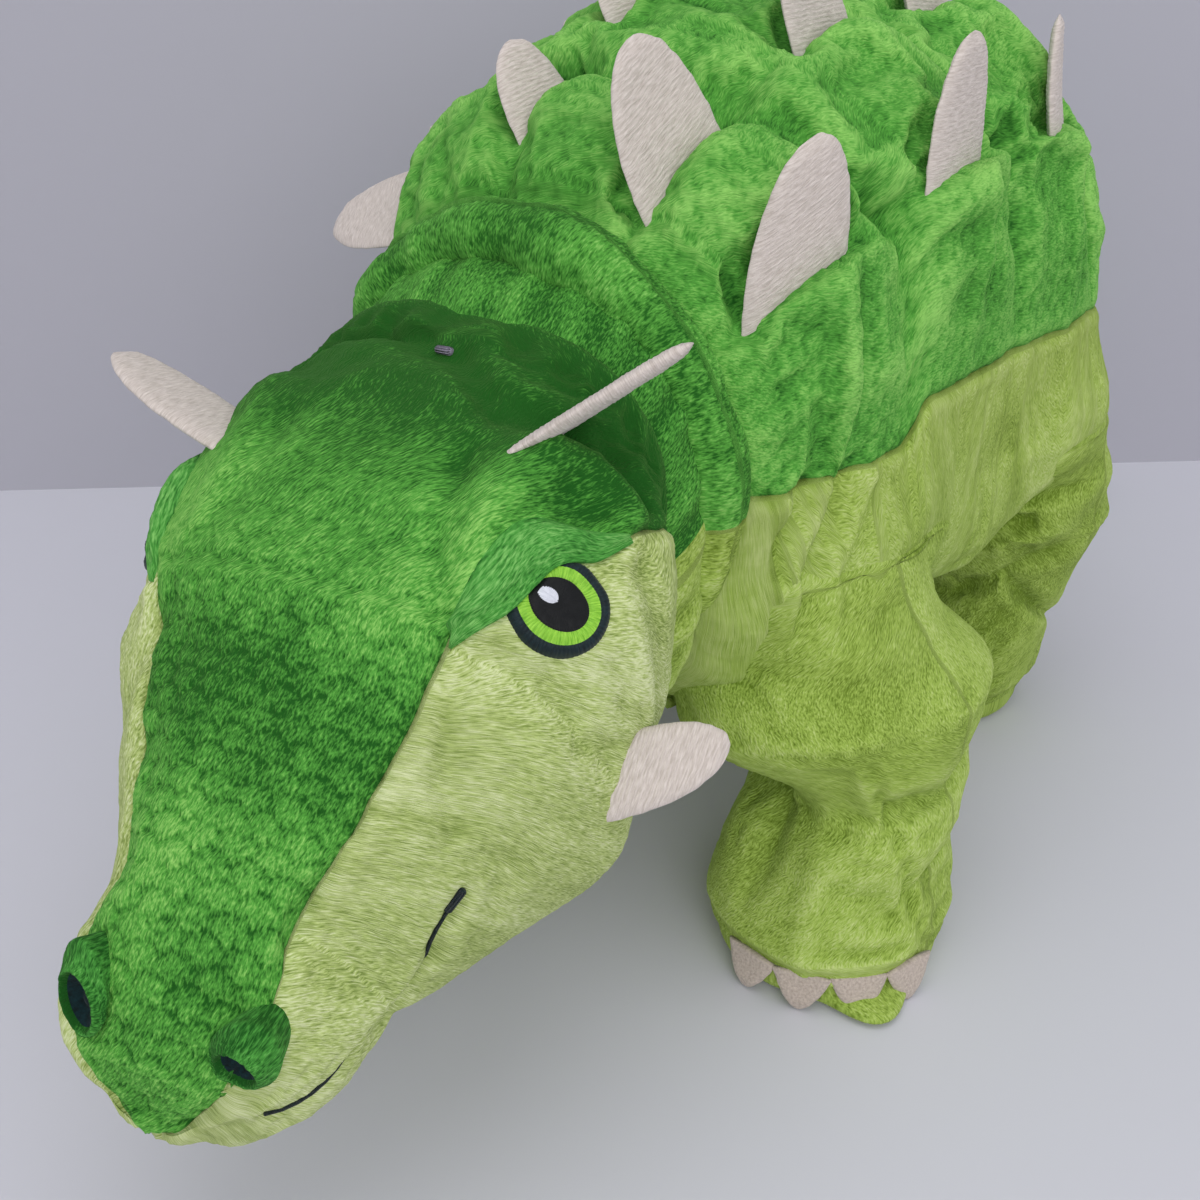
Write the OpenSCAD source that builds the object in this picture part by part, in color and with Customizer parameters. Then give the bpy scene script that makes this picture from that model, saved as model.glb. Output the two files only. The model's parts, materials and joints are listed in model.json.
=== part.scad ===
// Stuffed ankylosaur toy, standing on four feet, head towards -Y, its left side towards +X.
// All sizes are millimetres, and the table under the feet is z = 0.

/* [Torso] */
// Width of the torso at its widest
torso_w = 190; // [170:1:210]
// Height of the back above the table
back_h = 260; // [250:1:266]
// Height of the belly above the table
belly_h = 66; // [62:1:72]
// Height of the seam between the back panel and the flanks
border_h = 150; // [146:1:154]
// Place of the widest section along the torso
widest_y = 15; // [5:1:25]
// Thickness of the sewn plush cloth
cloth = 2.2; // [1.6:0.1:2.6]
// Depth of the folds across the back, between the rows of plates
channel_depth = 7; // [3:0.5:9]

/* [Head] */
// How far the nose dips below level
head_dip = 26; // [20:1:30]
// How far the head looks to its left
head_turn = 11; // [0:1:13]
// Radius of the stuffed ball of the neck
neck_r = 46.5; // [44:0.5:47]
// Diameter of an embroidered eye
eye_d = 21; // [18:0.5:24]

/* [Limbs] */
// Width of a foot
foot_w = 66; // [62:1:68]
// Height of the hip joints
hip_h = 88; // [86:1:90]
// How far the front feet are turned out
splay = 30; // [0:1:35]
// How far the tail droops
tail_droop = 30; // [24:1:32]

/* [Trim] */
// Height of a back plate
plate_h = 36; // [32:1:42]
// Width of a back plate at its base
plate_w = 35; // [30:1:38]
// Thickness of plates and horns
knit = 4; // [3:0.5:5]

/* [Hidden] */
$fn = 48;
gap = 0.4;
// Space between the cloth and a piece sewn on it
sewn = 0.15;
seam = 0.25;
squareness = 0.8;
head_squareness = 0.68;

// Where the torso opens for the neck and for the tail
torso_front = -107.6;
torso_rear = 129;
front_reach = 152;
rear_reach = 120;
// Powers of the taper that give the torso its fullness in front, behind, on top and below
front_fullness = 0.4545;
rear_fullness = 0.6;
top_fullness = 0.75;
bottom_fullness = 0.5;
belly_half_w = 54;
neck = [0, -118, 152];
tail_root = [0, 129, 146];
tail_ball = 27;

// Folds across the back between the rows of plates, and how wide they are
fold_y = [-57, 5, 66];
fold_w = 8;
// Rows of plates along the back, and their angle from the side seam up to the top of the back
row_y = [-88, -28, 38];
plate_angles = [144, 100, 70, 36];
// How far the foot of a plate is pressed into the plush
plate_seat = 0.35;
// How far each plate leans from upright towards the animal's left, row by row from its right side
plate_leans = [[-105, -40, -22, 0], [-80, -35, -10, 4], [-60, -30, -15, -12]];
row_shrink = 0.03;
facet_room = 1.05;
leaf_points = 20;

// Collar roll and the head's stations from the neck to the nose:
// distance along the axis, half width, height above the axis, height below it
collar_tube = 7;
// The gusset starts this far in front of the middle of the neck's ball
gusset_from = 4;
// Radius of the opening left in it for the stuffing
gusset_hole = 23;
collar_r = neck_r + cloth + 2.5 * gap + collar_tube;
head_stations = [
    [32, 62, 56, -46],
    [50, 71, 57, -56],
    [75, 70, 54, -59],
    [102, 60, 45, -50],
    [128, 47, 36, -40],
    [150, 37, 28, -31],
    [170, 32, 20, -25],
    [183, 24, 12, -20],
    [190, 12, 0, -13]
];
// Rows of the head panels: angles round the ball of the neck, then places along the stations
neck_rows = [125, 98, 72];
head_rows = [0, 0.4, 0.8, 1.4, 2, 2.5, 3, 4, 5, 5.8, 6.5, 7.3, 8];
crown_edge = 61;
chin_edge = 55;
nose_fill = 183;
nose_fill_drop = -10;
eye_u = 2;
eye_t = 49;
lid_u = 1.95;
lid_t = 62;
// A lid is a disc, less a larger disc round the eye below it
lid_d = 1.15 * eye_d;
lid_cut_d = 1.55 * eye_d;
lid_cut_shift = 0.8 * eye_d;
nostril_u = 6.35;
// Their places round the snout, the right one first, because it is stuffed a little askew
nostril_ts = [72, 55];
nostril_d = 18;
nostril_hole = 0.8 * nostril_d;
nostril_shift = 0.3 * nostril_d;
horn_u = 0.8;
horn_w = 23;
horn_l = 36;
// How far the soft horns rise from level, the right one first, and how far they sweep back
horn_rises = [9, 30];
horn_sweeps = [5, 25];
// How far the base of a horn is turned out from the length of the head
horn_skew = 30;
// Their places round the head differ, because the stuffed crown is fuller on its right
horn_ts = [41, 64];
cheek_horn_u = 2.5;
cheek_horn_t = 9;
cheek_horn_w = 25;
cheek_horn_l = 28;
cheek_horn_sweep = 35;
cheek_horn_rise = 22;
mouth_rise = 8;
mouth_drop = 14;
mouth_from = 3.7;
mouth_to = 7.4;
mouth_count = 10;
stitch = 6;
// Place of the thread tack at the back of the crown
tack_u = 0.15;
tack_t = 84;
thread = 1.2;

// Feet and hips: centre of each sole, and where its leg hangs from
sole = 2.2;
front_foot = [86, -81];
hind_foot = [58, 74];
front_hip = [80, -66];
hind_hip = [78, 72];
// Height of the dome at the top of a leg above the axis of its hip, and the station it rises from
hip_dome = 42;
hip_station = 5;
leg_sides = 14;
// Stations of a leg: height, half width, half depth, and how far from the sole's place to the hip's
front_stations = [
    [sole + gap, foot_w / 2 - 1, 33, 0],
    [14, foot_w / 2 + 1, 35, 0],
    [38, foot_w / 2, 33, 0.45],
    [64, foot_w / 2 - 2, 33, 0.85],
    [hip_h, 31, 36, 1],
    [108, 28, 31, 1]
];
hind_stations = [
    [sole + gap, foot_w / 2 - 6, 30, 0],
    [14, foot_w / 2 - 4, 32, 0],
    [38, foot_w / 2 - 8, 29, 0.35],
    [64, foot_w / 2 - 9, 30, 0.7],
    [hip_h, 28.5, 36, 1],
    [108, 25, 31, 1]
];
claw_w = 15;
claw_h = 12;
claw_t = 5;
claw_step = 25;

// Tail: distance from its root and radius, then the club at its end
tail_stations = [
    [-5, 26.5], [8, 25.8], [17.4, 20.7], [36, 20.3], [56, 19], [78, 17], [101, 15], [130, 12.5]
];
club_w = 62;
club_l = 54;
club_h = 48;

// Colours of the cloths and threads
leaf_green = "#4fa33f";
lime = "#a3c060";
pale_green = "#8cc05a";
lid_green = "#3e8e48";
beige = "#d0c5be";
taupe = "#b3a596";
dark_teal = "#0c2024";
thread_grey = "#8f8798";
fill_white = "#f2f0ea";

// Small mathematics
function signed_power(v, k) = sign(v) * pow(abs(v), k);
function mix(a, b, t) = a + (b - a) * t;
function clamp01(v) = min(1, max(0, v));
function ease(a, b, v) = let (t = clamp01((v - a) / (b - a))) t * t * (3 - 2 * t);
function steps(a, b, n) = [for (i = [0 : n]) a + (b - a) * i / n];
function dip(p, a) = [p.x, p.y * cos(a) - p.z * sin(a), p.y * sin(a) + p.z * cos(a)];
function turn(p, a) = [p.x * cos(a) - p.y * sin(a), p.x * sin(a) + p.y * cos(a), p.z];
function unit(v) = v / norm(v);

// A smooth curve through the rows of a table of stations, at place u counted in rows
function pick(table, i) = table[min(len(table) - 1, max(0, i))];
function curve(table, u) =
    let (i = min(len(table) - 2, floor(u)), t = u - i)
    let (a = pick(table, i - 1), b = pick(table, i), c = pick(table, i + 1), d = pick(table, i + 2))
    0.5 * (2 * b + (c - a) * t + (2 * a - 5 * b + 4 * c - d) * t * t
        + (3 * b - a - 3 * c + d) * t * t * t);

// Triangles of a grid of points, with m rows of n points each, from point number first on
function grid_faces(m, n, first, closed, flip) = [
    for (i = [0 : m - 2], j = [0 : n - (closed ? 1 : 2)])
        let (k = (j + 1) % n)
        let (a = first + i * n + j, b = first + i * n + k)
        let (c = a + n, d = b + n)
        each flip ? [[a, c, b], [b, c, d]] : [[a, b, c], [b, d, c]]
];

// A strip of triangles between two lists of point numbers
function strip_faces(p, q, closed) = [
    for (j = [0 : len(p) - (closed ? 1 : 2)])
        let (k = (j + 1) % len(p))
        each [[p[j], p[k], q[j]], [p[k], q[k], q[j]]]
];

// A cloth panel between an outer and an inner grid of points
module panel(outer, inner) {
    m = len(outer);
    n = len(outer[0]);
    k = m * n;
    first_row = [for (j = [0 : n - 1]) j];
    last_row = [for (j = [0 : n - 1]) (m - 1) * n + j];
    first_column = [for (i = [0 : m - 1]) i * n];
    last_column = [for (i = [0 : m - 1]) i * n + n - 1];
    polyhedron(
        points = [for (r = concat(outer, inner)) each r],
        faces = concat(
            grid_faces(m, n, 0, false, false),
            grid_faces(m, n, k, false, true),
            strip_faces([for (j = first_row) j + k], first_row, false),
            strip_faces(last_row, [for (j = last_row) j + k], false),
            strip_faces(first_column, [for (i = first_column) i + k], false),
            strip_faces([for (i = last_column) i + k], last_column, false)
        )
    );
}

// A cloth sleeve, open at both ends, between outer and inner rings of points
module sleeve(outer, inner) {
    m = len(outer);
    n = len(outer[0]);
    k = m * n;
    first_row = [for (j = [0 : n - 1]) j];
    last_row = [for (j = [0 : n - 1]) (m - 1) * n + j];
    polyhedron(
        points = [for (r = concat(outer, inner)) each r],
        faces = concat(
            grid_faces(m, n, 0, true, false),
            grid_faces(m, n, k, true, true),
            strip_faces([for (j = first_row) j + k], first_row, true),
            strip_faces(last_row, [for (j = last_row) j + k], true)
        )
    );
}

// A stuffed form through rings of points, closed at both ends by a point
module stuffed(start, rings, end) {
    m = len(rings);
    n = len(rings[0]);
    k = m * n;
    polyhedron(
        points = concat([for (r = rings) each r], [start, end]),
        faces = concat(
            grid_faces(m, n, 0, true, false),
            [for (j = [0 : n - 1]) [k, (j + 1) % n, j]],
            [for (j = [0 : n - 1]) [k + 1, k - n + j, k - n + (j + 1) % n]]
        )
    );
}

// Torso: a domed back over a narrower belly, drawn in at the folds between the rows of plates
torso_rows = [
    torso_front, -97, -88, -77, -66, -57, -48, -38, -28, -12, 5, 20, 38, 52, 66, 80, 100, 118, torso_rear
];
function torso_taper(y) =
    1 - pow(abs(y - widest_y) / (y < widest_y ? front_reach : rear_reach), 3.2);
function torso_half_w(y) = torso_w / 2 * pow(torso_taper(y), y < widest_y ? front_fullness : rear_fullness);
function torso_top(y) = (back_h - border_h) * pow(torso_taper(y), top_fullness);
function torso_bottom(y) = (border_h - belly_h) * pow(torso_taper(y), bottom_fullness);
function channel(y) = channel_depth * max([for (f = fold_y) exp(-pow((y - f) / fold_w, 2))]);
function torso_point(y, t, inset) =
    let (c = cos(t), s = sin(t), upper = s > 0)
    let (sunk = upper ? inset + channel(y) * ease(0.1, 0.6, s) : inset)
    let (half_w = torso_half_w(y), low_w = min(half_w, belly_half_w))
    let (w = upper ? half_w : mix(half_w, low_w, ease(0, 0.4, -s)))
    [
        (w - sunk) * signed_power(c, squareness),
        y,
        border_h + (upper ? torso_top(y) - sunk : torso_bottom(y) - sunk) * signed_power(s, squareness)
    ];
// Spans of the torso panels round its section: first angle, last angle, columns
torso_spans = [[0, 180, 12], [180, 240, 3], [240, 300, 3], [300, 360, 3]];
function span_angles(span) = steps(span[0] + seam, span[1] - seam, span[2]);
function torso_skin(angles, inset) = [for (y = torso_rows) [for (t = angles) torso_point(y, t, inset)]];
module torso_panel(span) {
    panel(torso_skin(span_angles(span), 0), torso_skin(span_angles(span), cloth));
}
module back_panel() { color(leaf_green) torso_panel(torso_spans[0]); }
module flank_right() { color(lime) torso_panel(torso_spans[1]); }
module belly_panel() { color(lime) torso_panel(torso_spans[2]); }
module flank_left() { color(lime) torso_panel(torso_spans[3]); }

// A ring on a ball at angle a from the ball's front, in the plane square to Y
function ball_ring(centre, r, a, angles) =
    [for (t = angles) centre + [r * sin(a) * cos(t), -r * cos(a), r * sin(a) * sin(t)]];
module torso_stuffing() {
    angles = [for (span = torso_spans) each span_angles(span)];
    socket = (neck_r + cloth + 2 * gap) * facet_room;
    tail_socket = (tail_ball + gap) * facet_room;
    front_edge = acos((neck.y - torso_front) / socket);
    rear_edge = acos((tail_root.y - torso_rear) / tail_socket);
    color(fill_white) stuffed(
        neck + [0, socket, 0],
        concat(
            [for (a = [165, 145, 122, front_edge]) ball_ring(neck, socket, a, angles)],
            torso_skin(angles, cloth + gap),
            [for (a = [rear_edge, 62, 38, 15]) ball_ring(tail_root, tail_socket, a, angles)]
        ),
        tail_root - [0, tail_socket, 0]
    );
}

// Places a piece on a surface: its own Z along the normal, its own Y as near as may be to a direction
module seated(p, normal, along, lift) {
    z = unit(normal);
    x = unit(cross(along, z));
    y = cross(z, x);
    q = p + z * lift;
    multmatrix([
        [x.x, y.x, z.x, q.x],
        [x.y, y.y, z.y, q.y],
        [x.z, y.z, z.z, q.z],
        [0, 0, 0, 1]
    ]) children();
}

// Room that a leaf leaning away from the surface needs, so that its edge clears the cloth
function lean_room(normal, way, along) =
    let (z = unit(way), x = unit(cross(along, z)))
    sewn + knit / 2 * abs(x * normal) / (z * normal);

// Flat knit leaf of width w and height h, whose foot has its own height at each of the leaf's widths
leaf_turns = steps(0, 180, leaf_points);
function leaf_widths(w) = [for (a = leaf_turns) w / 2 * signed_power(cos(a), 0.8)];
module leaf_plate(w, h, foot) {
    x = leaf_widths(w);
    crest = [for (i = [0 : leaf_points]) mix(foot[i], h, pow(sin(leaf_turns[i]), 1.2))];
    outline = concat(
        [for (i = [0 : leaf_points]) [x[i], crest[i]]],
        [for (i = [leaf_points - 1 : -1 : 1]) [x[i], foot[i]]]
    );
    rotate([90, 0, 90]) translate([0, 0, -knit / 2]) linear_extrude(knit) polygon(outline);
}

// Back plates stand in rows between the folds, and their feet follow the back
function torso_rise(y, t) = torso_point(y, t + 2, 0) - torso_point(y, t - 2, 0);
module back_plate(row, place) {
    y = row_y[row];
    t = plate_angles[place];
    p = torso_point(y, t, 0);
    lean = plate_leans[row][place];
    way = [sin(lean), 0, cos(lean)];
    across = [cos(lean), 0, -sin(lean)];
    size = 1 - row_shrink * row;
    w = plate_w * size;
    foot = [
        for (x = leaf_widths(w))
            let (d = torso_point(y + x, t, 0) - p, rise = torso_rise(y + x, t))
            (d - rise * (d * across) / (rise * across)) * way
    ];
    lift = lean_room(cross([0, 1, 0], torso_rise(y, t)), way, [0, 1, 0]) - plate_seat;
    color(beige) seated(p, way, [0, 1, 0], lift) leaf_plate(w, plate_h * size, foot);
}

// Neck: a stuffed roll round the opening, and a cup of cloth between torso and head
module neck_collar() {
    color(pale_green) translate([neck.x, torso_front - gap - collar_tube, neck.z]) rotate([90, 0, 0])
        rotate_extrude() translate([collar_r, 0]) circle(r = collar_tube);
}
module neck_gusset() {
    inner_r = neck_r + gap;
    outer_r = inner_r + cloth;
    color(pale_green) translate(neck) rotate([-90, 0, 0]) rotate_extrude() difference() {
        circle(r = outer_r);
        circle(r = inner_r);
        translate([-outer_r, -outer_r]) square([outer_r + gusset_hole, 2 * outer_r]);
        translate([0, -outer_r]) square([outer_r, outer_r - gusset_from]);
    }
}

// Head: rings along its axis, upright where they meet the neck and square to the axis further on
function head_way(p) = neck + turn(dip(p, head_dip), head_turn);
function head_place(u, x, z) =
    let (st = curve(head_stations, u), b = ease(0, 2.5, u))
    head_way([0, -st[0], 0]) + turn(dip([x, 0, z], head_dip * b), head_turn * b);
function head_point(u, t, inset) =
    let (st = curve(head_stations, u), s = sin(t))
    head_place(
        u,
        (st[1] - inset) * signed_power(cos(t), head_squareness),
        ((s > 0 ? st[2] : -st[3]) - inset) * signed_power(s, head_squareness)
    );
function head_along(u, t) = head_point(u + 0.1, t, 0) - head_point(u - 0.1, t, 0);
function head_across(u, t) = head_point(u, t + 3, 0) - head_point(u, t - 3, 0);
function head_normal(u, t) = unit(cross(head_across(u, t), head_along(u, t)));
function head_skin(angles, inset) = concat(
    [for (a = neck_rows) ball_ring(neck, neck_r - inset, a, angles)],
    [for (u = head_rows) [for (t = angles) head_point(u, t, inset)]]
);
// Spans of the head panels round its section, taken from the last angle to the first
head_spans = [
    [crown_edge, 180 - crown_edge, 8],
    [180 - crown_edge, 180 + chin_edge, 6],
    [180 + chin_edge, 360 - chin_edge, 3],
    [360 - chin_edge, 360 + crown_edge, 6]
];
function reversed(list) = [for (i = [len(list) - 1 : -1 : 0]) list[i]];
module head_panel(span) {
    angles = reversed(span_angles(span));
    panel(head_skin(angles, 0), head_skin(angles, cloth));
}
module on_head(u, t, lift) {
    seated(head_point(u, t, 0), head_normal(u, t), head_along(u, t), lift) children();
}
module crown_panel() { color(leaf_green) head_panel(head_spans[0]); }
module cheek_right() { color(lime) head_panel(head_spans[1]); }
module chin_panel() { color(lime) head_panel(head_spans[2]); }
module cheek_left() { color(lime) head_panel(head_spans[3]); }
module head_stuffing() {
    angles = reversed([for (span = head_spans) each span_angles(span)]);
    color(fill_white) stuffed(
        neck + [0, neck_r - cloth - gap, 0],
        concat(
            [for (a = [165, 145]) ball_ring(neck, neck_r - cloth - gap, a, angles)],
            head_skin(angles, cloth + gap)
        ),
        head_way([0, -nose_fill, nose_fill_drop])
    );
}

// Face: embroidered eyes under stitched lids, hooded nostrils and a line of stitches for the mouth
module eye(side) {
    color(dark_teal) on_head(eye_u, side > 0 ? eye_t : 180 - eye_t, sewn) cylinder(d = eye_d, h = thread);
}
module eyelid(side) {
    color(lid_green) on_head(lid_u, side > 0 ? lid_t : 180 - lid_t, gap)
        linear_extrude(cloth) difference() {
            circle(d = lid_d);
            translate([-side * lid_cut_shift, 0]) circle(d = lid_cut_d);
        }
}
module nostril_hood(side) {
    color(lid_green) on_head(nostril_u, side > 0 ? nostril_ts[1] : 180 - nostril_ts[0], 2 * gap)
        linear_extrude(knit) difference() {
            circle(d = nostril_d);
            translate([0, nostril_shift]) circle(d = nostril_hole);
        }
}
module nostril_lining(side) {
    color(dark_teal) on_head(nostril_u, side > 0 ? nostril_ts[1] : 180 - nostril_ts[0], 2 * gap)
        translate([0, nostril_shift]) cylinder(d = nostril_hole - 2 * gap, h = thread);
}
module head_leaf(u, t, way, along, w, l) {
    normal = head_normal(u, t);
    z = unit(way);
    y = unit(along - z * (along * z));
    foot = [for (x = leaf_widths(w)) -x * (y * normal) / (z * normal)];
    color(beige) seated(head_point(u, t, 0), way, along, lean_room(normal, way, along))
        leaf_plate(w, l, foot);
}
module horn(side) {
    rise = horn_rises[side > 0 ? 1 : 0];
    sweep = horn_sweeps[side > 0 ? 1 : 0];
    way = [side * cos(rise) * cos(sweep), cos(rise) * sin(sweep), sin(rise)];
    t = side > 0 ? horn_ts[1] : 180 - horn_ts[0];
    base = [side * sin(horn_skew), cos(horn_skew), 0];
    head_leaf(horn_u, t, turn(way, head_turn), turn(base, head_turn), horn_w, horn_l);
}
module cheek_horn(side) {
    way = [side * cos(cheek_horn_sweep), sin(cheek_horn_sweep), sin(cheek_horn_rise)];
    t = side > 0 ? -cheek_horn_t : 180 + cheek_horn_t;
    head_leaf(cheek_horn_u, t, turn(way, head_turn), head_across(cheek_horn_u, t), cheek_horn_w, cheek_horn_l);
}
module mouth_stitches() {
    color(dark_teal) for (side = [-1, 1], i = [0 : mouth_count - 1])
        let (u = mix(mouth_from, mouth_to, i / (mouth_count - 1)))
        let (t = mix(-mouth_rise, mouth_drop, i / (mouth_count - 1)))
        on_head(u, side > 0 ? -t : 180 + t, gap + thread / 2)
            rotate([90, 0, 0]) cylinder(d = thread, h = stitch, center = true);
}
module neck_tack() {
    color(thread_grey) on_head(tack_u, tack_t, gap + thread / 2)
        rotate([0, 90, 0]) cylinder(d = thread, h = stitch, center = true);
}

// Legs: rings from the sole up to the hip, out from under the torso
function leg_stations(end) = end > 0 ? hind_stations : front_stations;
function on_side(p, side) = [side * p.x, p.y];
function foot_place(end, side) = on_side(end > 0 ? hind_foot : front_foot, side);
function hip_place(end, side) = on_side(end > 0 ? hind_hip : front_hip, side);
function leg_ring(end, side, st, inset) =
    let (c = mix(foot_place(end, side), hip_place(end, side), st[3]))
    [for (t = leg_angles) [c.x + (st[1] - inset) * cos(t), c.y + (st[2] - inset) * sin(t), st[0]]];
leg_angles = [for (i = [0 : leg_sides - 1]) -360 * i / leg_sides];

// Top of a leg: a dome round the axis of the hip that stays just under the flank
function hip_reach(end, x) =
    let (y = hip_place(end, 1).y)
    let (flank = [for (t = span_angles(torso_spans[3])) torso_point(y, t, 0)])
    min(hip_dome, lookup(abs(x), [for (p = flank) [p.x, p.z]]) - hip_h - 1.6 * gap);
function hip_ring(end, side, scale, inset) =
    let (hip = hip_place(end, side), st = leg_stations(end)[hip_station])
    [
        for (t = leg_angles)
            let (x = hip.x + (st[1] - inset) * scale * cos(t), y = (st[2] - inset) * scale * sin(t))
            [x, hip.y + y, hip_h + sqrt(max(1, pow(hip_reach(end, x), 2) - y * y))]
    ];
function leg_walls(end, side, inset) = concat(
    [for (st = [for (i = [0 : hip_station - 1]) leg_stations(end)[i]]) leg_ring(end, side, st, inset)],
    [hip_ring(end, side, 1, inset)]
);
module leg_skin(end, side) {
    color(lime) sleeve(leg_walls(end, side, 0), leg_walls(end, side, cloth));
}
module leg_stuffing(end, side) {
    foot = foot_place(end, side);
    hip = hip_place(end, side);
    color(fill_white) stuffed(
        [foot.x, foot.y, leg_stations(end)[0][0]],
        concat(
            leg_walls(end, side, cloth + gap),
            [for (scale = [0.7, 0.35]) hip_ring(end, side, scale, cloth + gap)]
        ),
        [hip.x, hip.y, hip_h + hip_reach(end, hip.x)]
    );
}
module leg_sole(end, side) {
    foot = foot_place(end, side);
    st = leg_stations(end)[0];
    color(lime) linear_extrude(sole) polygon([
        for (t = leg_angles) [foot.x + st[1] * cos(t), foot.y + st[2] * sin(t)]
    ]);
}
module claw() {
    rotate([90, 0, 0]) linear_extrude(claw_t) polygon([
        for (i = [0 : 12]) let (a = 180 * i / 12) [claw_w / 2 * cos(a), -claw_h * pow(sin(a), 0.7)]
    ]);
}
module leg_claws(end, side) {
    foot = foot_place(end, side);
    facing = end > 0 ? 0 : side * splay;
    st = leg_stations(end)[1];
    color(taupe) for (i = [-1.5 : 1 : 1.5])
        let (a = facing - 90 + i * claw_step)
        let (r = st[1] * st[2] / norm([st[2] * cos(a), st[1] * sin(a)]))
        translate([foot.x, foot.y, sole + claw_h]) rotate([0, 0, a + 90])
            translate([0, -r - gap, 0]) claw();
}

// Tail: a tapering tube on a ball, with a stuffed club at its end
function tail_way(p) = tail_root + dip([p.x, p.y, p.z], -tail_droop);
function tail_ring(st, inset, angles) =
    [for (t = angles) tail_way([(st[1] - inset) * cos(t), st[0], (st[1] - inset) * sin(t)])];
function tail_angles(from) = steps(from + 1, from + 179, 5);
module tail_half(from) {
    angles = tail_angles(from);
    panel(
        [for (st = tail_stations) tail_ring(st, 0, angles)],
        [for (st = tail_stations) tail_ring(st, cloth, angles)]
    );
}
module tail_upper() { color(leaf_green) tail_half(0); }
module tail_lower() { color(lime) tail_half(180); }
module tail_stuffing() {
    angles = concat(tail_angles(0), tail_angles(180));
    last = tail_stations[len(tail_stations) - 1];
    r = tail_ball - cloth - gap;
    color(fill_white) stuffed(
        tail_way([0, -r, 0]),
        concat(
            [for (a = [160, 130]) tail_ring([r * cos(a), r * sin(a)], 0, angles)],
            [for (st = tail_stations) tail_ring(st, cloth + gap, angles)]
        ),
        tail_way([0, last[0], 0])
    );
}
module tail_club() {
    angles = [for (i = [0 : 13]) 360 * i / 14];
    start = tail_stations[len(tail_stations) - 1][0] + gap;
    color(leaf_green) stuffed(
        tail_way([0, start, 0]),
        [for (a = [25, 50, 75, 100, 125, 150])
            [for (t = angles) tail_way([
                club_w / 2 * sin(a) * cos(t),
                start + club_l / 2 * (1 - cos(a)),
                club_h / 2 * sin(a) * sin(t)
            ])]],
        tail_way([0, start + club_l, 0])
    );
}

back_panel();
flank_left();
flank_right();
belly_panel();
torso_stuffing();
back_plate(0, 0);  // plate_1_right_low
back_plate(0, 1);  // plate_1_right_high
back_plate(0, 2);  // plate_1_left_high
back_plate(0, 3);  // plate_1_left_low
back_plate(1, 0);  // plate_2_right_low
back_plate(1, 1);  // plate_2_right_high
back_plate(1, 2);  // plate_2_left_high
back_plate(1, 3);  // plate_2_left_low
back_plate(2, 0);  // plate_3_right_low
back_plate(2, 1);  // plate_3_right_high
back_plate(2, 2);  // plate_3_left_high
back_plate(2, 3);  // plate_3_left_low
neck_collar();
neck_gusset();
crown_panel();
cheek_left();
cheek_right();
chin_panel();
head_stuffing();
eye(1);  // eye_left
eye(-1);  // eye_right
eyelid(1);  // eyelid_left
eyelid(-1);  // eyelid_right
nostril_hood(1);  // nostril_hood_left
nostril_hood(-1);  // nostril_hood_right
nostril_lining(1);  // nostril_lining_left
nostril_lining(-1);  // nostril_lining_right
horn(1);  // horn_left
horn(-1);  // horn_right
cheek_horn(1);  // cheek_horn_left
cheek_horn(-1);  // cheek_horn_right
mouth_stitches();
neck_tack();
leg_skin(-1, 1);  // front_left_leg
leg_stuffing(-1, 1);  // front_left_stuffing
leg_sole(-1, 1);  // front_left_sole
leg_claws(-1, 1);  // front_left_claws
leg_skin(-1, -1);  // front_right_leg
leg_stuffing(-1, -1);  // front_right_stuffing
leg_sole(-1, -1);  // front_right_sole
leg_claws(-1, -1);  // front_right_claws
leg_skin(1, 1);  // hind_left_leg
leg_stuffing(1, 1);  // hind_left_stuffing
leg_sole(1, 1);  // hind_left_sole
leg_claws(1, 1);  // hind_left_claws
leg_skin(1, -1);  // hind_right_leg
leg_stuffing(1, -1);  // hind_right_stuffing
leg_sole(1, -1);  // hind_right_sole
leg_claws(1, -1);  // hind_right_claws
tail_upper();
tail_lower();
tail_stuffing();
tail_club();
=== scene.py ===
# %% [markdown]
# # A stuffed ankylosaur
# The toy is sewn from short-pile plush and stuffed: a green embossed back over a lime belly, a long head,
# four slack legs and a clubbed tail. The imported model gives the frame, with every joint in its place.
# Here each cloth part gets its real form, its seams and its finish, in the same frame.

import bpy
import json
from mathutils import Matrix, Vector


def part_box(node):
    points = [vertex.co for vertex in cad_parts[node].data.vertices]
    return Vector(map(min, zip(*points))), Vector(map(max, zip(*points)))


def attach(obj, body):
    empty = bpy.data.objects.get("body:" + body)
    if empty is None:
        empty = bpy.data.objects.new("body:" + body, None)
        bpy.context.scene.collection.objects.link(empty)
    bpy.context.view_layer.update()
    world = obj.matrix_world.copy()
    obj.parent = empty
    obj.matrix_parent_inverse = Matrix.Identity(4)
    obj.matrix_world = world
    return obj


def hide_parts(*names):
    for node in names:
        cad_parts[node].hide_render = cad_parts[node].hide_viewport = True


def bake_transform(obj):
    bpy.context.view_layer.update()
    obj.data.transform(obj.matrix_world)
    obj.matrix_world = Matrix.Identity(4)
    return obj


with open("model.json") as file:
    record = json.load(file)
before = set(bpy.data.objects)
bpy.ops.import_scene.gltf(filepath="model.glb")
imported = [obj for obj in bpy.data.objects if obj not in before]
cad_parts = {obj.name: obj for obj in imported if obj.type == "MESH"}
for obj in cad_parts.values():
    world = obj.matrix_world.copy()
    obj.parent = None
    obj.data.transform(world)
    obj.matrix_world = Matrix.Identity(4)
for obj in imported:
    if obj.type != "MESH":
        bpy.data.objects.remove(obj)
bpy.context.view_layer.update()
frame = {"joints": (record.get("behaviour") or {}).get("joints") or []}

import json
import math

import bpy
import numpy as np
from mathutils import Matrix, Vector
from mathutils.bvhtree import BVHTree

scene = bpy.context.scene
bpy.ops.object.select_all(action="DESELECT")

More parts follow.
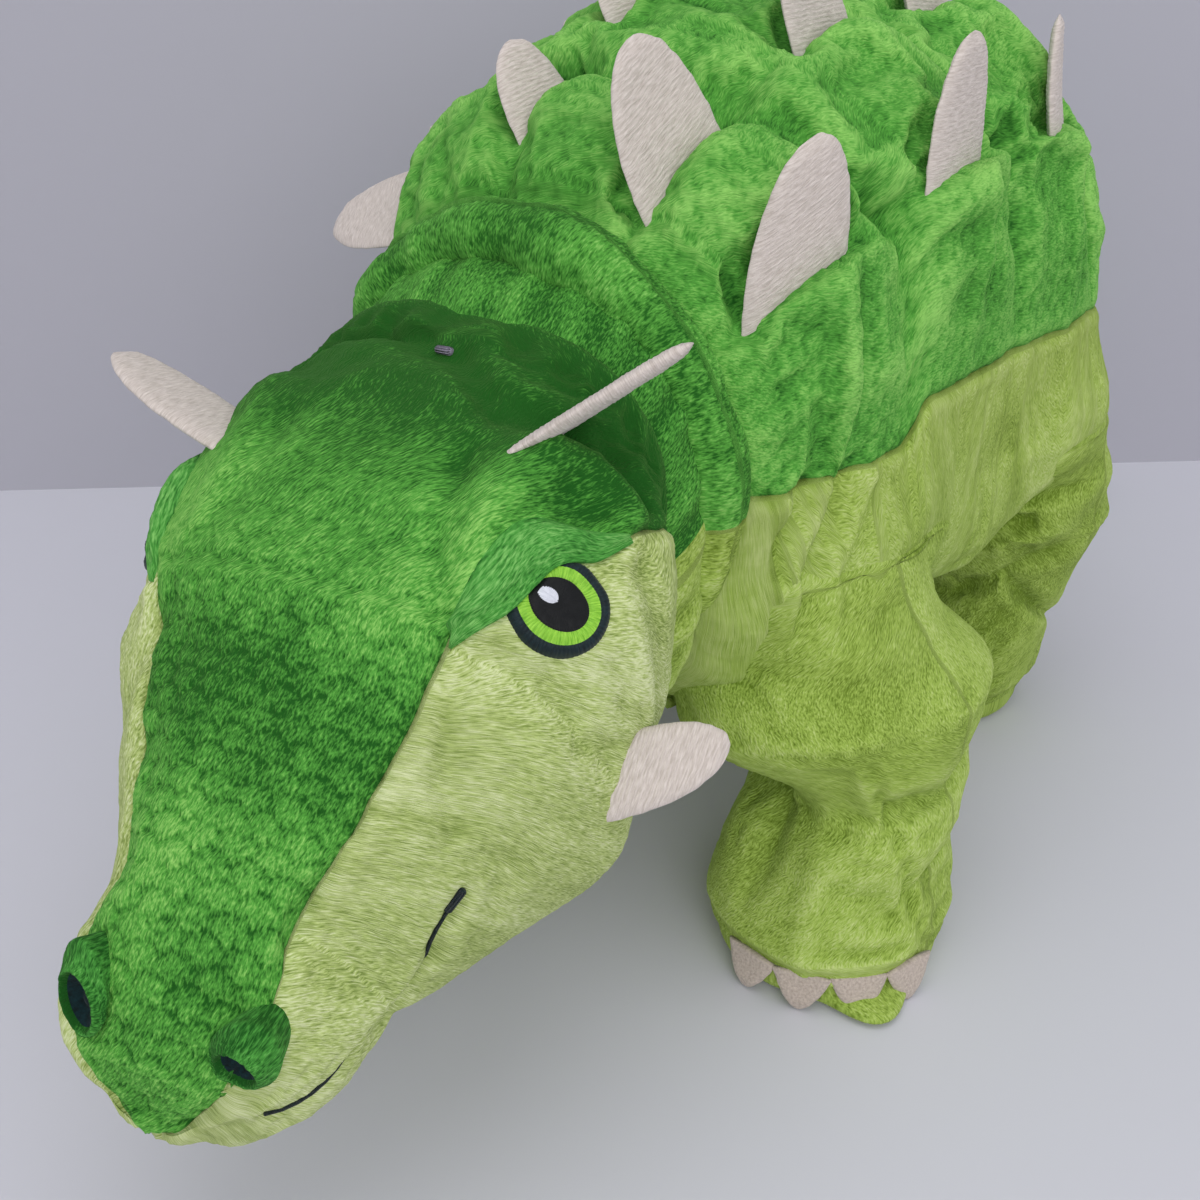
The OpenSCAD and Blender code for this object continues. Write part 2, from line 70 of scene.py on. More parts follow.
# %% [markdown]
# ## Camera
# A photograph taken by hand from the animal's front left, looking down. The camera could be found by
# trial, but it was solved from points that are sure, such as the claws and the feet of the plates. Its
# axes are written as an azimuth, an elevation and a small roll, so that each can be read.

# %% Camera
MM = 0.001
camera_place = Vector((228.6, -394.7, 301.1)) * MM
camera_azimuth, camera_elevation, camera_roll = 36.35, 28.64, 0.28
camera_data = bpy.data.cameras.new("photo_camera")
camera_data.sensor_width = 36
camera_data.lens = 42
camera_data.clip_start = 0.01
camera = bpy.data.objects.new("photo_camera", camera_data)
camera.matrix_world = (
    Matrix.Translation(camera_place)
    @ Matrix.Rotation(math.radians(camera_azimuth), 4, "Z")
    @ Matrix.Rotation(math.radians(90 - camera_elevation), 4, "X")
    @ Matrix.Rotation(math.radians(camera_roll), 4, "Z")
)
scene.collection.objects.link(camera)
scene.camera = camera
print("camera", [round(v, 3) for v in camera_place])

# %% [markdown]
# ## Light
# The photograph has soft light from overhead and a pale room around it. A sun would give hard edges, so
# one large lamp above and another in front give soft shadows, and an even world fills them. The strengths
# are kept plain, so that a colour renders about as it is written.

# %% Light
scene.view_settings.view_transform = "Standard"
world = bpy.data.worlds.new("studio")
scene.world = world
world.use_nodes = True
sky = world.node_tree.nodes["Background"]
sky.inputs["Color"].default_value = (0.93, 0.95, 1.0, 1)
sky.inputs["Strength"].default_value = 0.82


def lamp(name, place, aim, size, watts):
    """A round lamp of a size in metres, aimed at a point."""
    data = bpy.data.lights.new(name, "AREA")
    data.shape = "DISK"
    data.size = size
    data.energy = watts
    light = bpy.data.objects.new(name, data)
    light.location = place
    light.rotation_euler = (Vector(aim) - Vector(place)).to_track_quat("-Z", "Y").to_euler()
    scene.collection.objects.link(light)
    return light


lamp("overhead", (0.1, -0.2, 1.5), (0, -0.05, 0.1), 1.3, 5.2)
lamp("front", (1.0, -1.1, 0.75), (0, -0.1, 0.05), 1.1, 7)
print("lamps", len(bpy.data.lights))

# %% [markdown]
# ## Small mathematics
# The forms are worked out in millimetres on grids of points: rows run along a part, and columns go round
# it. A few helpers shape them: an easing curve, a bell, a rounded-square power, turns, and a smooth noise
# that always gives the same value at the same place.

# %% Small mathematics
def ease(a, b, v):
    """Rises smoothly from 0 at a to 1 at b, or falls where b lies below a."""
    t = np.clip((v - a) / (b - a), 0, 1)
    return t * t * (3 - 2 * t)


def mix(a, b, t):
    """What lies between a and b, from a at 0 to b at 1."""
    return a + (b - a) * t


def bell(v, centre, width):
    """1 at the centre, fading to both sides."""
    return np.exp(-(((v - centre) / width) ** 2))


def squared(v, power):
    """A power that keeps the sign. Below 1 it squares off a round section."""
    return np.sign(v) * np.abs(v) ** power


def stack(x, y, z):
    """Points from their three coordinates."""
    x, y, z = np.broadcast_arrays(x, y, z)
    return np.stack([x, y, z], -1).astype(float)


def dipped(p, degrees):
    """Points turned about X, so that what lies in front goes down."""
    a = np.radians(degrees)
    x, y, z = np.moveaxis(p, -1, 0)
    return stack(x, y * np.cos(a) - z * np.sin(a), y * np.sin(a) + z * np.cos(a))


def turned(p, degrees):
    """Points turned about Z."""
    a = np.radians(degrees)
    x, y, z = np.moveaxis(p, -1, 0)
    return stack(x * np.cos(a) - y * np.sin(a), x * np.sin(a) + y * np.cos(a), z)


def unit(v):
    """The same directions with a length of 1."""
    return v / np.maximum(np.linalg.norm(v, axis=-1, keepdims=True), 1e-9)


def noise(p, size, seed):
    """Smooth noise from -1 to 1 at points p, with lumps about as large as size."""
    q = p / size
    cell = np.floor(q)
    f = q - cell
    f = f * f * (3 - 2 * f)
    total = 0
    for corner in np.ndindex(2, 2, 2):
        c = cell + corner
        spin = c[..., 0] * 127.1 + c[..., 1] * 311.7 + c[..., 2] * 74.7 + seed * 17.3
        value = np.modf(np.abs(np.sin(spin)) * 43758.5453)[0]
        weight = 1
        for axis in range(3):
            weight = weight * (f[..., axis] if corner[axis] else 1 - f[..., axis])
        total = total + weight * value
    return 2 * total - 1


def station_curve(table, u):
    """A smooth curve through the rows of a table, at place u counted in rows."""
    table = np.asarray(table, float)
    last = len(table) - 1
    i = np.clip(np.floor(u).astype(int), 0, last - 1)
    t = (u - i)[..., None]
    a, b, c, d = (table[np.clip(i + k, 0, last)] for k in (-1, 0, 1, 2))
    return 0.5 * (2 * b + (c - a) * t + (2 * a - 5 * b + 4 * c - d) * t**2 + (3 * b - a - 3 * c + d) * t**3)


def near_line(u, t, line, scale, width):
    """How near places (u, t) lie to a drawn line, from 0 to 1; scale turns u and t into millimetres."""
    gap = np.inf
    p = np.stack(np.broadcast_arrays(u * scale[0], t * scale[1]), -1)
    for a, b in zip(line, line[1:]):
        a, b = np.array(a) * scale, np.array(b) * scale
        share = np.clip(((p - a) @ (b - a)) / ((b - a) @ (b - a)), 0, 1)
        gap = np.minimum(gap, np.linalg.norm(p - a - share[..., None] * (b - a), axis=-1))
    return np.exp(-((gap / width) ** 2))


print("an easing curve at its quarters", ease(0, 1, np.array([0.25, 0.5, 0.75])))

# %% [markdown]
# ## Grids of points
# A stuffed form is a grid whose columns close into rings. A ball could be sculpted instead, but on a grid
# each seam is a column and each row of plates a row. The grid is swollen by a cloth simulation while it
# is coarse, then drawn finer with smooth curves through its points, so that seams, embossing and pile can
# be added at their real size without a heavy simulation.

# %% Grids of points
FINE = 3


def finer(grid, times, axis, closed):
    """The same surface with times as many points along an axis."""
    n = grid.shape[axis]
    s = np.arange(n * times) / times if closed else np.arange((n - 1) * times + 1) / times
    i = np.floor(s).astype(int)
    t = (s - i).reshape([-1 if k == axis else 1 for k in range(grid.ndim)])
    picks = [(i + k) % n if closed else np.clip(i + k, 0, n - 1) for k in (-1, 0, 1, 2)]
    a, b, c, d = (np.take(grid, p, axis) for p in picks)
    return 0.5 * (2 * b + (c - a) * t + (2 * a - 5 * b + 4 * c - d) * t**2 + (3 * b - a - 3 * c + d) * t**3)


def drawn_fine(grid, along=FINE):
    """A ring grid drawn finer along its rows and round its rings."""
    return finer(finer(grid, along, 0, False), FINE, 1, True)


def ring_normals(grid):
    """Outward normals of a grid whose columns close into rings."""
    along = np.gradient(grid, axis=0)
    around = np.roll(grid, -1, 1) - np.roll(grid, 1, 1)
    n = unit(np.cross(along, around))
    outward = np.sum(n * (grid - grid.mean(1, keepdims=True)))
    return n if outward > 0 else -n


def arc(points, axis):
    """Length along an axis of a grid, from its first point."""
    step = np.linalg.norm(np.diff(points, axis=axis), axis=-1)
    start = np.zeros_like(np.take(step, [0], axis))
    return np.concatenate([start, np.cumsum(step, axis)], axis)


def blurred(grid, passes):
    """A ring grid smoothed by moving each point towards its neighbours."""
    for _ in range(passes):
        around = (np.roll(grid, 1, 1) + np.roll(grid, -1, 1)) / 2
        along = np.concatenate([grid[:1], (grid[:-2] + grid[2:]) / 2, grid[-1:]])
        grid = 0.5 * grid + 0.25 * around + 0.25 * along
    return grid


def even_angles(outline, first, last, count):
    """Angles from first to last that part an outline, a function of the angle, into even lengths."""
    fine = np.linspace(first, last, 241)
    length = arc(outline(fine), 0)
    return np.interp(np.linspace(0, length[-1], count + 1), length, fine)


def grid_faces(rows, cols, closed):
    """The corners of each face of a grid, counted row by row."""
    i, j = np.meshgrid(np.arange(rows - 1), np.arange(cols if closed else cols - 1), indexing="ij")
    k = (j + 1) % cols
    quads = np.stack([i * cols + j, i * cols + k, (i + 1) * cols + k, (i + 1) * cols + j], -1)
    return quads.reshape(-1, 4)


def grid_mesh(name, grid, closed, flip):
    """A mesh from a grid of points in millimetres."""
    faces = grid_faces(grid.shape[0], grid.shape[1], closed)
    if flip:
        faces = faces[:, ::-1]
    mesh = bpy.data.meshes.new(name)
    mesh.from_pydata((grid.reshape(-1, 3) * MM).tolist(), [], faces.tolist())
    return mesh


print("grids are drawn", FINE, "times finer")

# %% [markdown]
# ## Stuffing
# Real plush is a slack bag, and the filling presses it out between its seams. A form could be inflated
# along its normals, but that swells it evenly. Blender's cloth with pressure fills it as stuffing does:
# the points of the seams and tucks are pinned, the cloth is given some slack, gravity is off, and twenty
# frames swell it. How far a point may move is capped, so the form stays true.

# %% Stuffing
STUFFING_FRAMES = 20


def stuff(name, rest, pinned, slack, cap):
    """The form after its cloth has been filled. Pinned points stay where they are."""
    form = bpy.data.objects.new(name, grid_mesh(name, rest, True, False))
    scene.collection.objects.link(form)
    form.vertex_groups.new(name="sewn").add(np.flatnonzero(pinned).tolist(), 1.0, "REPLACE")
    cloth = form.modifiers.new("filling", "CLOTH")
    cloth.settings.quality = 5
    cloth.settings.mass = 0.15
    cloth.settings.bending_stiffness = 0.15
    cloth.settings.use_pressure = True
    cloth.settings.uniform_pressure_force = 4
    cloth.settings.shrink_min = -slack
    cloth.settings.vertex_group_mass = "sewn"
    cloth.settings.effector_weights.gravity = 0
    cloth.collision_settings.use_collision = False
    for number in range(1, STUFFING_FRAMES + 1):
        scene.frame_set(number)
    shown = form.evaluated_get(bpy.context.evaluated_depsgraph_get()).data
    swollen = np.empty(len(shown.vertices) * 3)
    shown.vertices.foreach_get("co", swollen)
    bpy.data.objects.remove(form)
    scene.frame_set(1)
    move = swollen.reshape(rest.shape) / MM - rest
    length = np.linalg.norm(move, axis=-1, keepdims=True)
    print("stuffed", name, "moves up to", round(float(length.max()), 1), "mm")
    return rest + move * (cap * np.tanh(length / cap) / np.maximum(length, 1e-9))


print("stuffing takes", STUFFING_FRAMES, "frames a bag")

# %% [markdown]
# ## Plush
# The cloth is short-pile plush: fine streaks of pile, patches where the nap was brushed another way, and
# on the green one an embossed pattern of scales. It could be a picture, but a picture can't follow the
# seams. Each panel carries its own cloth coordinates in millimetres, along and across the pile, and noise
# drawn on them gives the streaks; a tone on each point darkens brushed patches, paints shade into hollows
# and embossed grooves, and paints a little light on tufts that stand up.

# %% Plush
def colour(code):
    """A written colour, such as #4fa33f, as the linear values that a shader takes."""
    parts = [int(code[k : k + 2], 16) / 255 for k in (1, 3, 5)]
    return tuple(v / 12.92 if v <= 0.04045 else ((v + 0.055) / 1.055) ** 2.4 for v in parts) + (1,)


def new_material(name):
    """A material, its node tree and its main shader."""
    material = bpy.data.materials.new(name)
    material.use_nodes = True
    return material, material.node_tree, material.node_tree.nodes["Principled BSDF"]


def node(tree, kind, **values):
    """A shader node with its sockets or settings set."""
    made = tree.nodes.new(kind)
    for key, value in values.items():
        if key in made.inputs:
            made.inputs[key].default_value = value
        else:
            setattr(made, key, value)
    return made


def maths(tree, operation, a, b):
    """A sum of two values, each a number or a socket."""
    made = tree.nodes.new("ShaderNodeMath")
    made.operation = operation
    for socket, value in zip(made.inputs, (a, b)):
        if isinstance(value, (int, float)):
            socket.default_value = value
        else:
            tree.links.new(value, socket)
    return made.outputs[0]


def streaks(tree, source, scale, detail):
    """Noise on a vector that was scaled by (along, across, depth)."""
    mapping = node(tree, "ShaderNodeMapping", Scale=scale)
    tree.links.new(source, mapping.inputs["Vector"])
    made = node(tree, "ShaderNodeTexNoise", Scale=1.0, Detail=detail, Roughness=0.6)
    tree.links.new(mapping.outputs["Vector"], made.inputs["Vector"])
    return made.outputs["Fac"]


def ramp(tree, value, stops):
    """Colours along a value, from stops of a place and a colour."""
    made = tree.nodes.new("ShaderNodeValToRGB")
    elements = made.color_ramp.elements
    while len(elements) < len(stops):
        elements.new(0.5)
    for element, (place, code) in zip(elements, stops):
        element.position = place
        element.color = colour(code)
    tree.links.new(value, made.inputs["Fac"])
    return made.outputs["Color"]


def raised(tree, shader, height, size):
    """Lets a value raise a surface by a size in metres."""
    bump = node(tree, "ShaderNodeBump", Strength=0.6, Distance=size)
    tree.links.new(height, bump.inputs["Height"])
    tree.links.new(bump.outputs["Normal"], shader.inputs["Normal"])


# Layers of grain in plush, from single streaks to brushed patches: scale, detail and share of the colour
PILE_LAYERS = (
    ((0.65, 1.6, 1), 1.5, 1.4),
    ((1.1, 3.4, 1), 2.0, 0.7),
    ((0.16, 0.24, 1), 3.0, 0.35),
    ((0.035, 0.05, 1), 2.0, 0.5),
)


def plush(name, dark, mid, light, contrast):
    """Short-pile cloth in three tones. The first layer of grain also raises its pile."""
    material, tree, shader = new_material(name)
    cloth = node(tree, "ShaderNodeAttribute", attribute_name="cloth").outputs["Vector"]
    value = node(tree, "ShaderNodeAttribute", attribute_name="tone").outputs["Fac"]
    grains = [streaks(tree, cloth, scale, detail) for scale, detail, _ in PILE_LAYERS]
    for grain, (_, _, share) in zip(grains, PILE_LAYERS):
        shade = maths(tree, "MULTIPLY", maths(tree, "SUBTRACT", grain, 0.5), share * contrast)
        value = maths(tree, "ADD", value, shade)
    tree.links.new(ramp(tree, value, [(0.06, dark), (0.5, mid), (0.94, light)]), shader.inputs["Base Color"])
    raised(tree, shader, grains[0], 0.0012)
    shader.inputs["Roughness"].default_value = 0.92
    shader.inputs["Specular IOR Level"].default_value = 0.15
    shader.inputs["Sheen Weight"].default_value = 0.22
    shader.inputs["Sheen Roughness"].default_value = 0.5
    shader.inputs["Sheen Tint"].default_value = colour(light)
    return material


GREEN = plush("green_plush", "#1a5516", "#529a3a", "#8fc863", 1.0)
BACK = plush("back_plush", "#1a5516", "#529a3a", "#8fc863", 0.65)
LIME = plush("lime_plush", "#778b40", "#acbc70", "#d3dba6", 1.35)
BODY = plush("body_plush", "#657e24", "#9cb552", "#c0cf83", 0.95)
PALE = plush("pale_plush", "#1f5c18", "#569d3c", "#8dc664", 0.95)
LID = plush("lid_plush", "#175016", "#48913a", "#82c066", 1.0)
print("plush", len(bpy.data.materials), "materials")

# %% [markdown]
# ## Panels
# A filled ring of points is cut along its seams into the panels that were sewn. One mesh with several
# finishes would look alike, but then no panel could be taken off. Each panel keeps the seam's points,
# turns a narrow hem inwards like a seam allowance, and carries its cloth coordinates, its tone and a map
# for baking that follows rows and columns.

# %% Panels
HEM = 2.5


def add_cloth(mesh, coordinates):
    """Gives each point its cloth coordinates in millimetres, which the finishes read."""
    cloth = mesh.attributes.new("cloth", "FLOAT_VECTOR", "POINT")
    cloth.data.foreach_set("vector", coordinates.astype(np.float32).ravel())


def cloth_piece(name, grid, attributes, material, flip=False, closed=False):
    """A piece of cloth from a grid of points, with cloth coordinates and tone for its material."""
    mesh = grid_mesh(name, grid, closed, flip)
    along, across = (np.linspace(0.01, 0.99, count) for count in grid.shape[:2])
    uv = np.stack(np.meshgrid(along, across, indexing="ij"), -1)
    layer = mesh.uv_layers.new(name="OFBake")
    corners = np.empty(len(mesh.loops), np.int32)
    mesh.loops.foreach_get("vertex_index", corners)
    layer.data.foreach_set("uv", uv.reshape(-1, 2)[corners].astype(np.float32).ravel())
    add_cloth(mesh, attributes["cloth"])
    tone = mesh.attributes.new("tone", "FLOAT", "POINT")
    tone.data.foreach_set("value", attributes["tone"].astype(np.float32).ravel())
    mesh.materials.append(material)
    mesh.shade_smooth()
    piece = bpy.data.objects.new(name, mesh)
    scene.collection.objects.link(piece)
    return piece


def sewn_panel(name, form, first, last, material, run_out=14):
    """The panel of a form between two columns, with a hem turned in along both seams.

    The hem runs out over some rows towards the ends.
    """
    columns = np.arange(first, last + 1) % form["grid"].shape[1]
    grid = form["grid"][:, columns]
    ends = np.minimum(np.arange(grid.shape[0]), np.arange(grid.shape[0])[::-1])
    inward = form["normals"][:, columns] * (HEM * ease(0, run_out, ends))[:, None, None]
    across = unit(np.gradient(grid, axis=1)) * 0.6
    hem_a = grid[:, :1] - inward[:, :1] + across[:, :1]
    hem_b = grid[:, -1:] - inward[:, -1:] - across[:, -1:]
    grid = np.concatenate([hem_a, grid, hem_b], 1)
    kept = {}
    for key in ("cloth", "tone"):
        values = form[key][:, columns]
        kept[key] = np.concatenate([values[:, :1], values, values[:, -1:]], 1)
    return cloth_piece(name, grid, kept, material, form["flip"])


def describe(piece, nodes):
    """Hides the imported solids that a piece stands for."""
    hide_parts(*nodes)
    return piece


def settle(piece, body, nodes):
    """Lets a piece ride on one body, and hides the solids that it stands for."""
    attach(piece, body)
    return describe(piece, nodes)


SCALE_WIDTH, SCALE_LENGTH = 7.0, 4.6


def scales(along, across, width=SCALE_WIDTH, length=SCALE_LENGTH):
    """Embossed scales: how deep in the line round a scale a point lies, from 0 to 1."""
    row = np.floor(along / length)
    line = np.zeros_like(along)
    taken = np.zeros(along.shape, bool)
    radius = 0.62 * width
    for k in (1, 0, -1):
        centre_along = (row + k) * length
        shift = 0.5 * ((row + k) % 2)
        centre_across = (np.round(across / width - shift) + shift) * width
        distance = np.hypot((along - centre_along) * 1.05, across - centre_across)
        inside = (distance < radius) & ~taken
        line = np.where(inside, np.exp(-(((radius - distance) / 1.0) ** 2)), line)
        taken |= inside
    return line


def dress(grid, seams, lumps, emboss, flip):
    """Adds lumps, seam lines, embossing and pile to a fine ring grid, with its cloth coordinates.

    An embossing has its strength, the column that its scales start from, and the size of a scale.
    """
    normals = ring_normals(blurred(grid, 2))
    along = np.broadcast_to(arc(grid, 0).mean(1, keepdims=True), grid.shape[:2])
    closed = np.concatenate([grid, grid[:, :1]], 1)
    around = arc(closed, 1)
    whole = around[:, -1:]
    around = around[:, :-1]
    seam_gap = np.full(grid.shape[:2], 1e3)
    for column in seams:
        d = np.abs(around - around[:, column : column + 1])
        seam_gap = np.minimum(seam_gap, np.minimum(d, whole - d))
    cloth = stack(along, around, 0)
    rise = lumps * (0.9 * noise(grid, 26, 1) + 0.55 * noise(grid, 13, 2))
    rise = rise - 1.3 * np.exp(-((seam_gap / 1.6) ** 2)) + 0.45 * bell(seam_gap, 4.5, 2.2)
    long_tufts = noise(stack(along / 4.5, around / 1.9, 0), 1, 3)
    short_tufts = noise(stack(along / 2.6, around / 1.3, 7), 1, 4)
    tufts = long_tufts + 0.6 * short_tufts
    rise = rise + 0.16 * tufts
    # Painted light and shade: tufts that stand up are a little lighter, and those that sink a little darker.
    tone = 0.5 + 0.05 * tufts
    if emboss is not None:
        strength, middle, size = emboss
        wavering = along + 1.5 * noise(grid, 30, 5)
        line = strength * scales(wavering, around - around[:, middle][:, None], *size)
        rise = rise - 0.6 * line
        # Painted shade: the embossed grooves are darkened as well as sunk.
        tone = tone - 0.22 * line
    shaped = grid + normals * rise[..., None]
    # Painted shade and light: the tone is darkened in the cloth's hollows, where shade falls, and lightened
    # a little on its bulges.
    hollow = np.sum((blurred(shaped, 24) - shaped) * normals, -1)
    tone = tone - 0.14 * np.clip(hollow, -1.2, 2.5)
    return {"grid": shaped, "normals": ring_normals(shaped), "cloth": cloth, "tone": tone, "flip": flip}


print("hems are", HEM, "mm deep")

# %% [markdown]
# ## Seats on the cloth
# Eyes, lids, horns and plates are sewn on the filled cloth, which no longer lies exactly where it was
# drawn. A Shrinkwrap modifier could pull a piece onto it, but would flatten the piece. A ray shot inwards
# finds the cloth itself, so each piece is seated where the cloth really is and keeps its own form.

# %% Seats on the cloth
OUTSIDE = 14


def cloth_tree(grid):
    """A ring grid in a form that rays can be shot at."""
    rows, cols = grid.shape[:2]
    return BVHTree.FromPolygons(grid.reshape(-1, 3).tolist(), grid_faces(rows, cols, True).tolist())


def onto(tree, starts, inwards, reach=60):
    """Where rays from each start meet the cloth. A ray that misses keeps its start."""
    starts = np.asarray(starts, float)
    inwards = np.broadcast_to(inwards, starts.shape)
    found = starts.copy()
    for place in np.ndindex(starts.shape[:-1]):
        hit = tree.ray_cast(Vector(starts[place]), Vector(inwards[place]), reach)[0]
        if hit is not None:
            found[place] = hit
    return found


def skin_frame(skin, u, t, step):
    """Place, outward normal and the ways along and round a skin at (u, t), as unit vectors."""
    u, t = np.asarray(u, float), np.asarray(t, float)
    along = unit(skin(u + step, t) - skin(u - step, t))
    across = unit(skin(u, t + 2) - skin(u, t - 2))
    normal = unit(np.cross(across, along))
    return skin(u, t), normal, along, unit(np.cross(along, normal))


print("rays start", OUTSIDE, "mm outside the cloth")

# %% [markdown]
# ## Torso
# The body is one bag: an embossed back panel, two flanks and a belly. Three rows of plates are sewn
# across the back and draw it in, so that the cloth puffs between them. A ball could be sculpted, but
# every tuck lies at a known place along the body and round it, so the form is a function of those two. It
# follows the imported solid, with deeper tucks at each plate, flanks that run down into the legs, and ends
# rolled in to neck and tail.

# %% Torso sizes
joint_place = {joint["name"]: np.array(joint["pos_m"]) / MM for joint in frame["joints"]}
neck = joint_place["neck_turn"]
tail_root = joint_place["tail_sway"]
back_low, back_high = (np.array(corner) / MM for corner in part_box("back_panel"))
belly_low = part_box("belly_panel")[0][2] / MM
torso_front, torso_rear = back_low[1], back_high[1]
half_width = back_high[0]
# The height where the colour changes, and how far the body goes up and down from it
border = 150
back_rise, belly_drop = 110, border - belly_low
# Where the body is widest, how far it reaches from there, and its belly and chest
widest, front_reach, rear_reach = 15, 152, 120
belly_half_width, chest_reach = 54, 150
# Rows of plates along the body, the folds behind them, and how far each fold bows forward
row_places = (-90, -30, 38)
fold_places = (-54, 5, 66)
fold_bows = (17, 10, 6)
# Plates round the body, half the length of a plate's tuck, and the radius of the back
plate_angles = (144, 101, 73, 37)
plate_half, back_radius = 17, 95
# Folds at the chest: where each starts, and how it slants
chest_folds = ((-106, 0.2), (-92, 0.4), (-76, 0.55))
print("torso from", torso_front.round(1), "to", torso_rear.round(1), "mm")


# %% Torso form
def torso_taper(y):
    """How full the torso is at a place along it, from 0 at its ends to 1."""
    return 1 - (np.abs(y - widest) / np.where(y < widest, front_reach, rear_reach)) ** 3.2


def legs_near(y):
    """1 over a pair of legs, fading between them."""
    front_leg, hind_leg = joint_place["front_left_swing"][1], joint_place["hind_left_swing"][1]
    return np.maximum(bell(y, front_leg, 34), bell(y, hind_leg, 36))


def torso_skin(y, t):
    """Points of the filled torso at places y along it and angles t round it, from its left side."""
    taper = torso_taper(y)
    wide = half_width * taper ** np.where(y < widest, 0.4545, 0.6)
    c, s = np.cos(np.radians(t)), np.sin(np.radians(t))
    over_legs = legs_near(y)
    hanging = 1 - over_legs * np.where(y > 0, 0.5, 1)
    tuck = ease(mix(0.45, 0.7, hanging), mix(0.84, 1, hanging), -s)
    tucked = mix(wide, np.minimum(wide, belly_half_width), tuck)
    hips = 11 * over_legs * bell(s, -0.34, 0.24)
    sag = 6 * hanging * bell(s, -0.62, 0.25)
    width = np.where(s > 0, wide, tucked + hips + sag)
    chest_full = 1 - np.clip((widest - y) / chest_reach, 0, 1) ** 9
    below = belly_drop * np.where(y < widest, chest_full, taper) ** 0.5
    height = np.where(s > 0, back_rise * taper**0.75, below)
    lift = (4 + 11 * ease(-60, -46, y)) * bell(s, 0, 0.5)
    over = ease(-0.12, 0.35, s)
    top = ease(0.45, 0.95, s)
    swell = 8 * bell(y, 78, 44) * bell(s, -0.2, 0.5)
    for fold, bow in zip(fold_places, fold_bows):
        pits = sum(bell(t, angle, 6) for angle in plate_angles)
        away = y - fold + bow * top
        swell = swell - over * (6.5 * bell(away, 0, 6.5) + 5 * pits * bell(away, 0, 9))
    for row in row_places:
        swell = swell + 3.5 * over * bell(y, row, 19)
        lengthways = ease(plate_half + 6, plate_half - 2, np.abs(y - row))
        for angle in plate_angles:
            across = np.radians(t - angle) * back_radius
            swell = swell - 4.5 * lengthways * bell(across, 0, 4.2)
            swell = swell + 2.0 * bell(y, row, 16) * bell(np.abs(across), 13, 7)
        ripple = np.sin((y - row) / 4.1 + 1.3) + 0.6 * np.sin((y - row) / 2.3)
        for under in (17, 163):
            swell = swell + 1.5 * ripple * bell(t, under, 13) * bell(y, row, 24)
    level = border + lift + height * squared(s, 0.8)
    chest = ease(162, 148, level) * ease(84, 104, level)
    for start, slant in chest_folds:
        away = y - start + slant * (border - level)
        swell = swell + chest * (2.6 * bell(away, 0, 4.6) - 2.0 * bell(away, -8, 4.2))
    crumple = stack(y, t * 1.6, 0)
    swell = swell + over * (1.3 * noise(crumple, 17, 7) + 1.0 * noise(crumple, 9, 8))
    x = (width + swell) * squared(c, np.where(s > 0, 0.8, mix(0.8, 0.42, hanging * ease(0, 0.3, -s))))
    z = border + lift + (height + swell) * squared(s, 0.8)
    return stack(x, y, z)


print("torso at its widest", torso_skin(np.array(float(widest)), np.array(0.0)).round(1))

# %% Torso rows and columns
# Each panel's first and last angle, and how many columns it has
SPANS = {"back": (0, 180, 78), "right": (180, 240, 24), "belly": (240, 300, 20), "left": (300, 360, 24)}
row_step = 4.3


def widest_section(t):
    """The torso's section where it is widest."""
    return torso_skin(np.full_like(t, widest), t)


torso_columns = np.concatenate([even_angles(widest_section, a, b, n)[:-1] for a, b, n in SPANS.values()])
profile_y = np.linspace(torso_front, torso_rear, 400)
profile = np.stack([profile_y, back_rise * torso_taper(profile_y) ** 0.75], -1)
profile_length = arc(profile, 0)
row_count = int(profile_length[-1] / row_step)
torso_rows = np.interp(np.linspace(0, profile_length[-1], row_count), profile_length, profile_y)


def end_roll(ring, centre, radius, away, steps):
    """Rows that turn a ring of cloth in towards a round opening of a radius about a centre."""
    angle = np.arctan2(ring[:, 2] - centre[2], ring[:, 0] - centre[0])
    inner_x, inner_z = centre[0] + radius * np.cos(angle), centre[2] + radius * np.sin(angle)
    inner = stack(inner_x, ring[:, 1] - away * 4, inner_z)
    share = np.linspace(0, 1, steps + 1)[1:, None, None]
    low = 1 + ease(0, 40, centre[2] - ring[:, 2])
    return mix(ring, inner, share) + stack(0, away * 7 * low, 0) * np.sin(np.pi * share) ** 0.8


torso_grid = torso_skin(*np.meshgrid(torso_rows, torso_columns, indexing="ij"))
neck_opening, tail_opening = 50, 27
neck_roll, tail_roll = 5, 3
front_rows = end_roll(torso_grid[0], neck, neck_opening, -1, neck_roll)[::-1]
rear_rows = end_roll(torso_grid[-1], tail_root, tail_opening, 0.3, tail_roll)
torso_grid = np.concatenate([front_rows, torso_grid, rear_rows])
print("torso grid", torso_grid.shape[:2])

# %% [markdown]
# ## Slits for the plates
# A plate is sewn into a slit across the back. Its foot is found on the filled cloth at its row and angle,
# its way up is written as a lean, and the cloth is drawn in to both of its sides.

# %% Slits for the plates
plate_size, plate_depth, foot_reach = (35, 34), 5, 11.0
plate_names = ("right_low", "right_high", "left_high", "left_low")
# For each row, how far its plates lean to the left in degrees, and how far they tip back, or forward below 0
plate_leans = ((-105, -36, -26, 0), (-110, -35, -15, -3), (-60, -30, -18, -10))
plate_forward = ((0, 0, -0.2, 0), (0, 0, -0.2, 0), (0, 0, -0.2, -0.25))
# Plates that differ from the rest: how far back they sit, how they are turned, and their size
plate_odd = {"plate_1_right_high": (9, 0, 0.78), "plate_3_left_low": (5, 12, 1)}


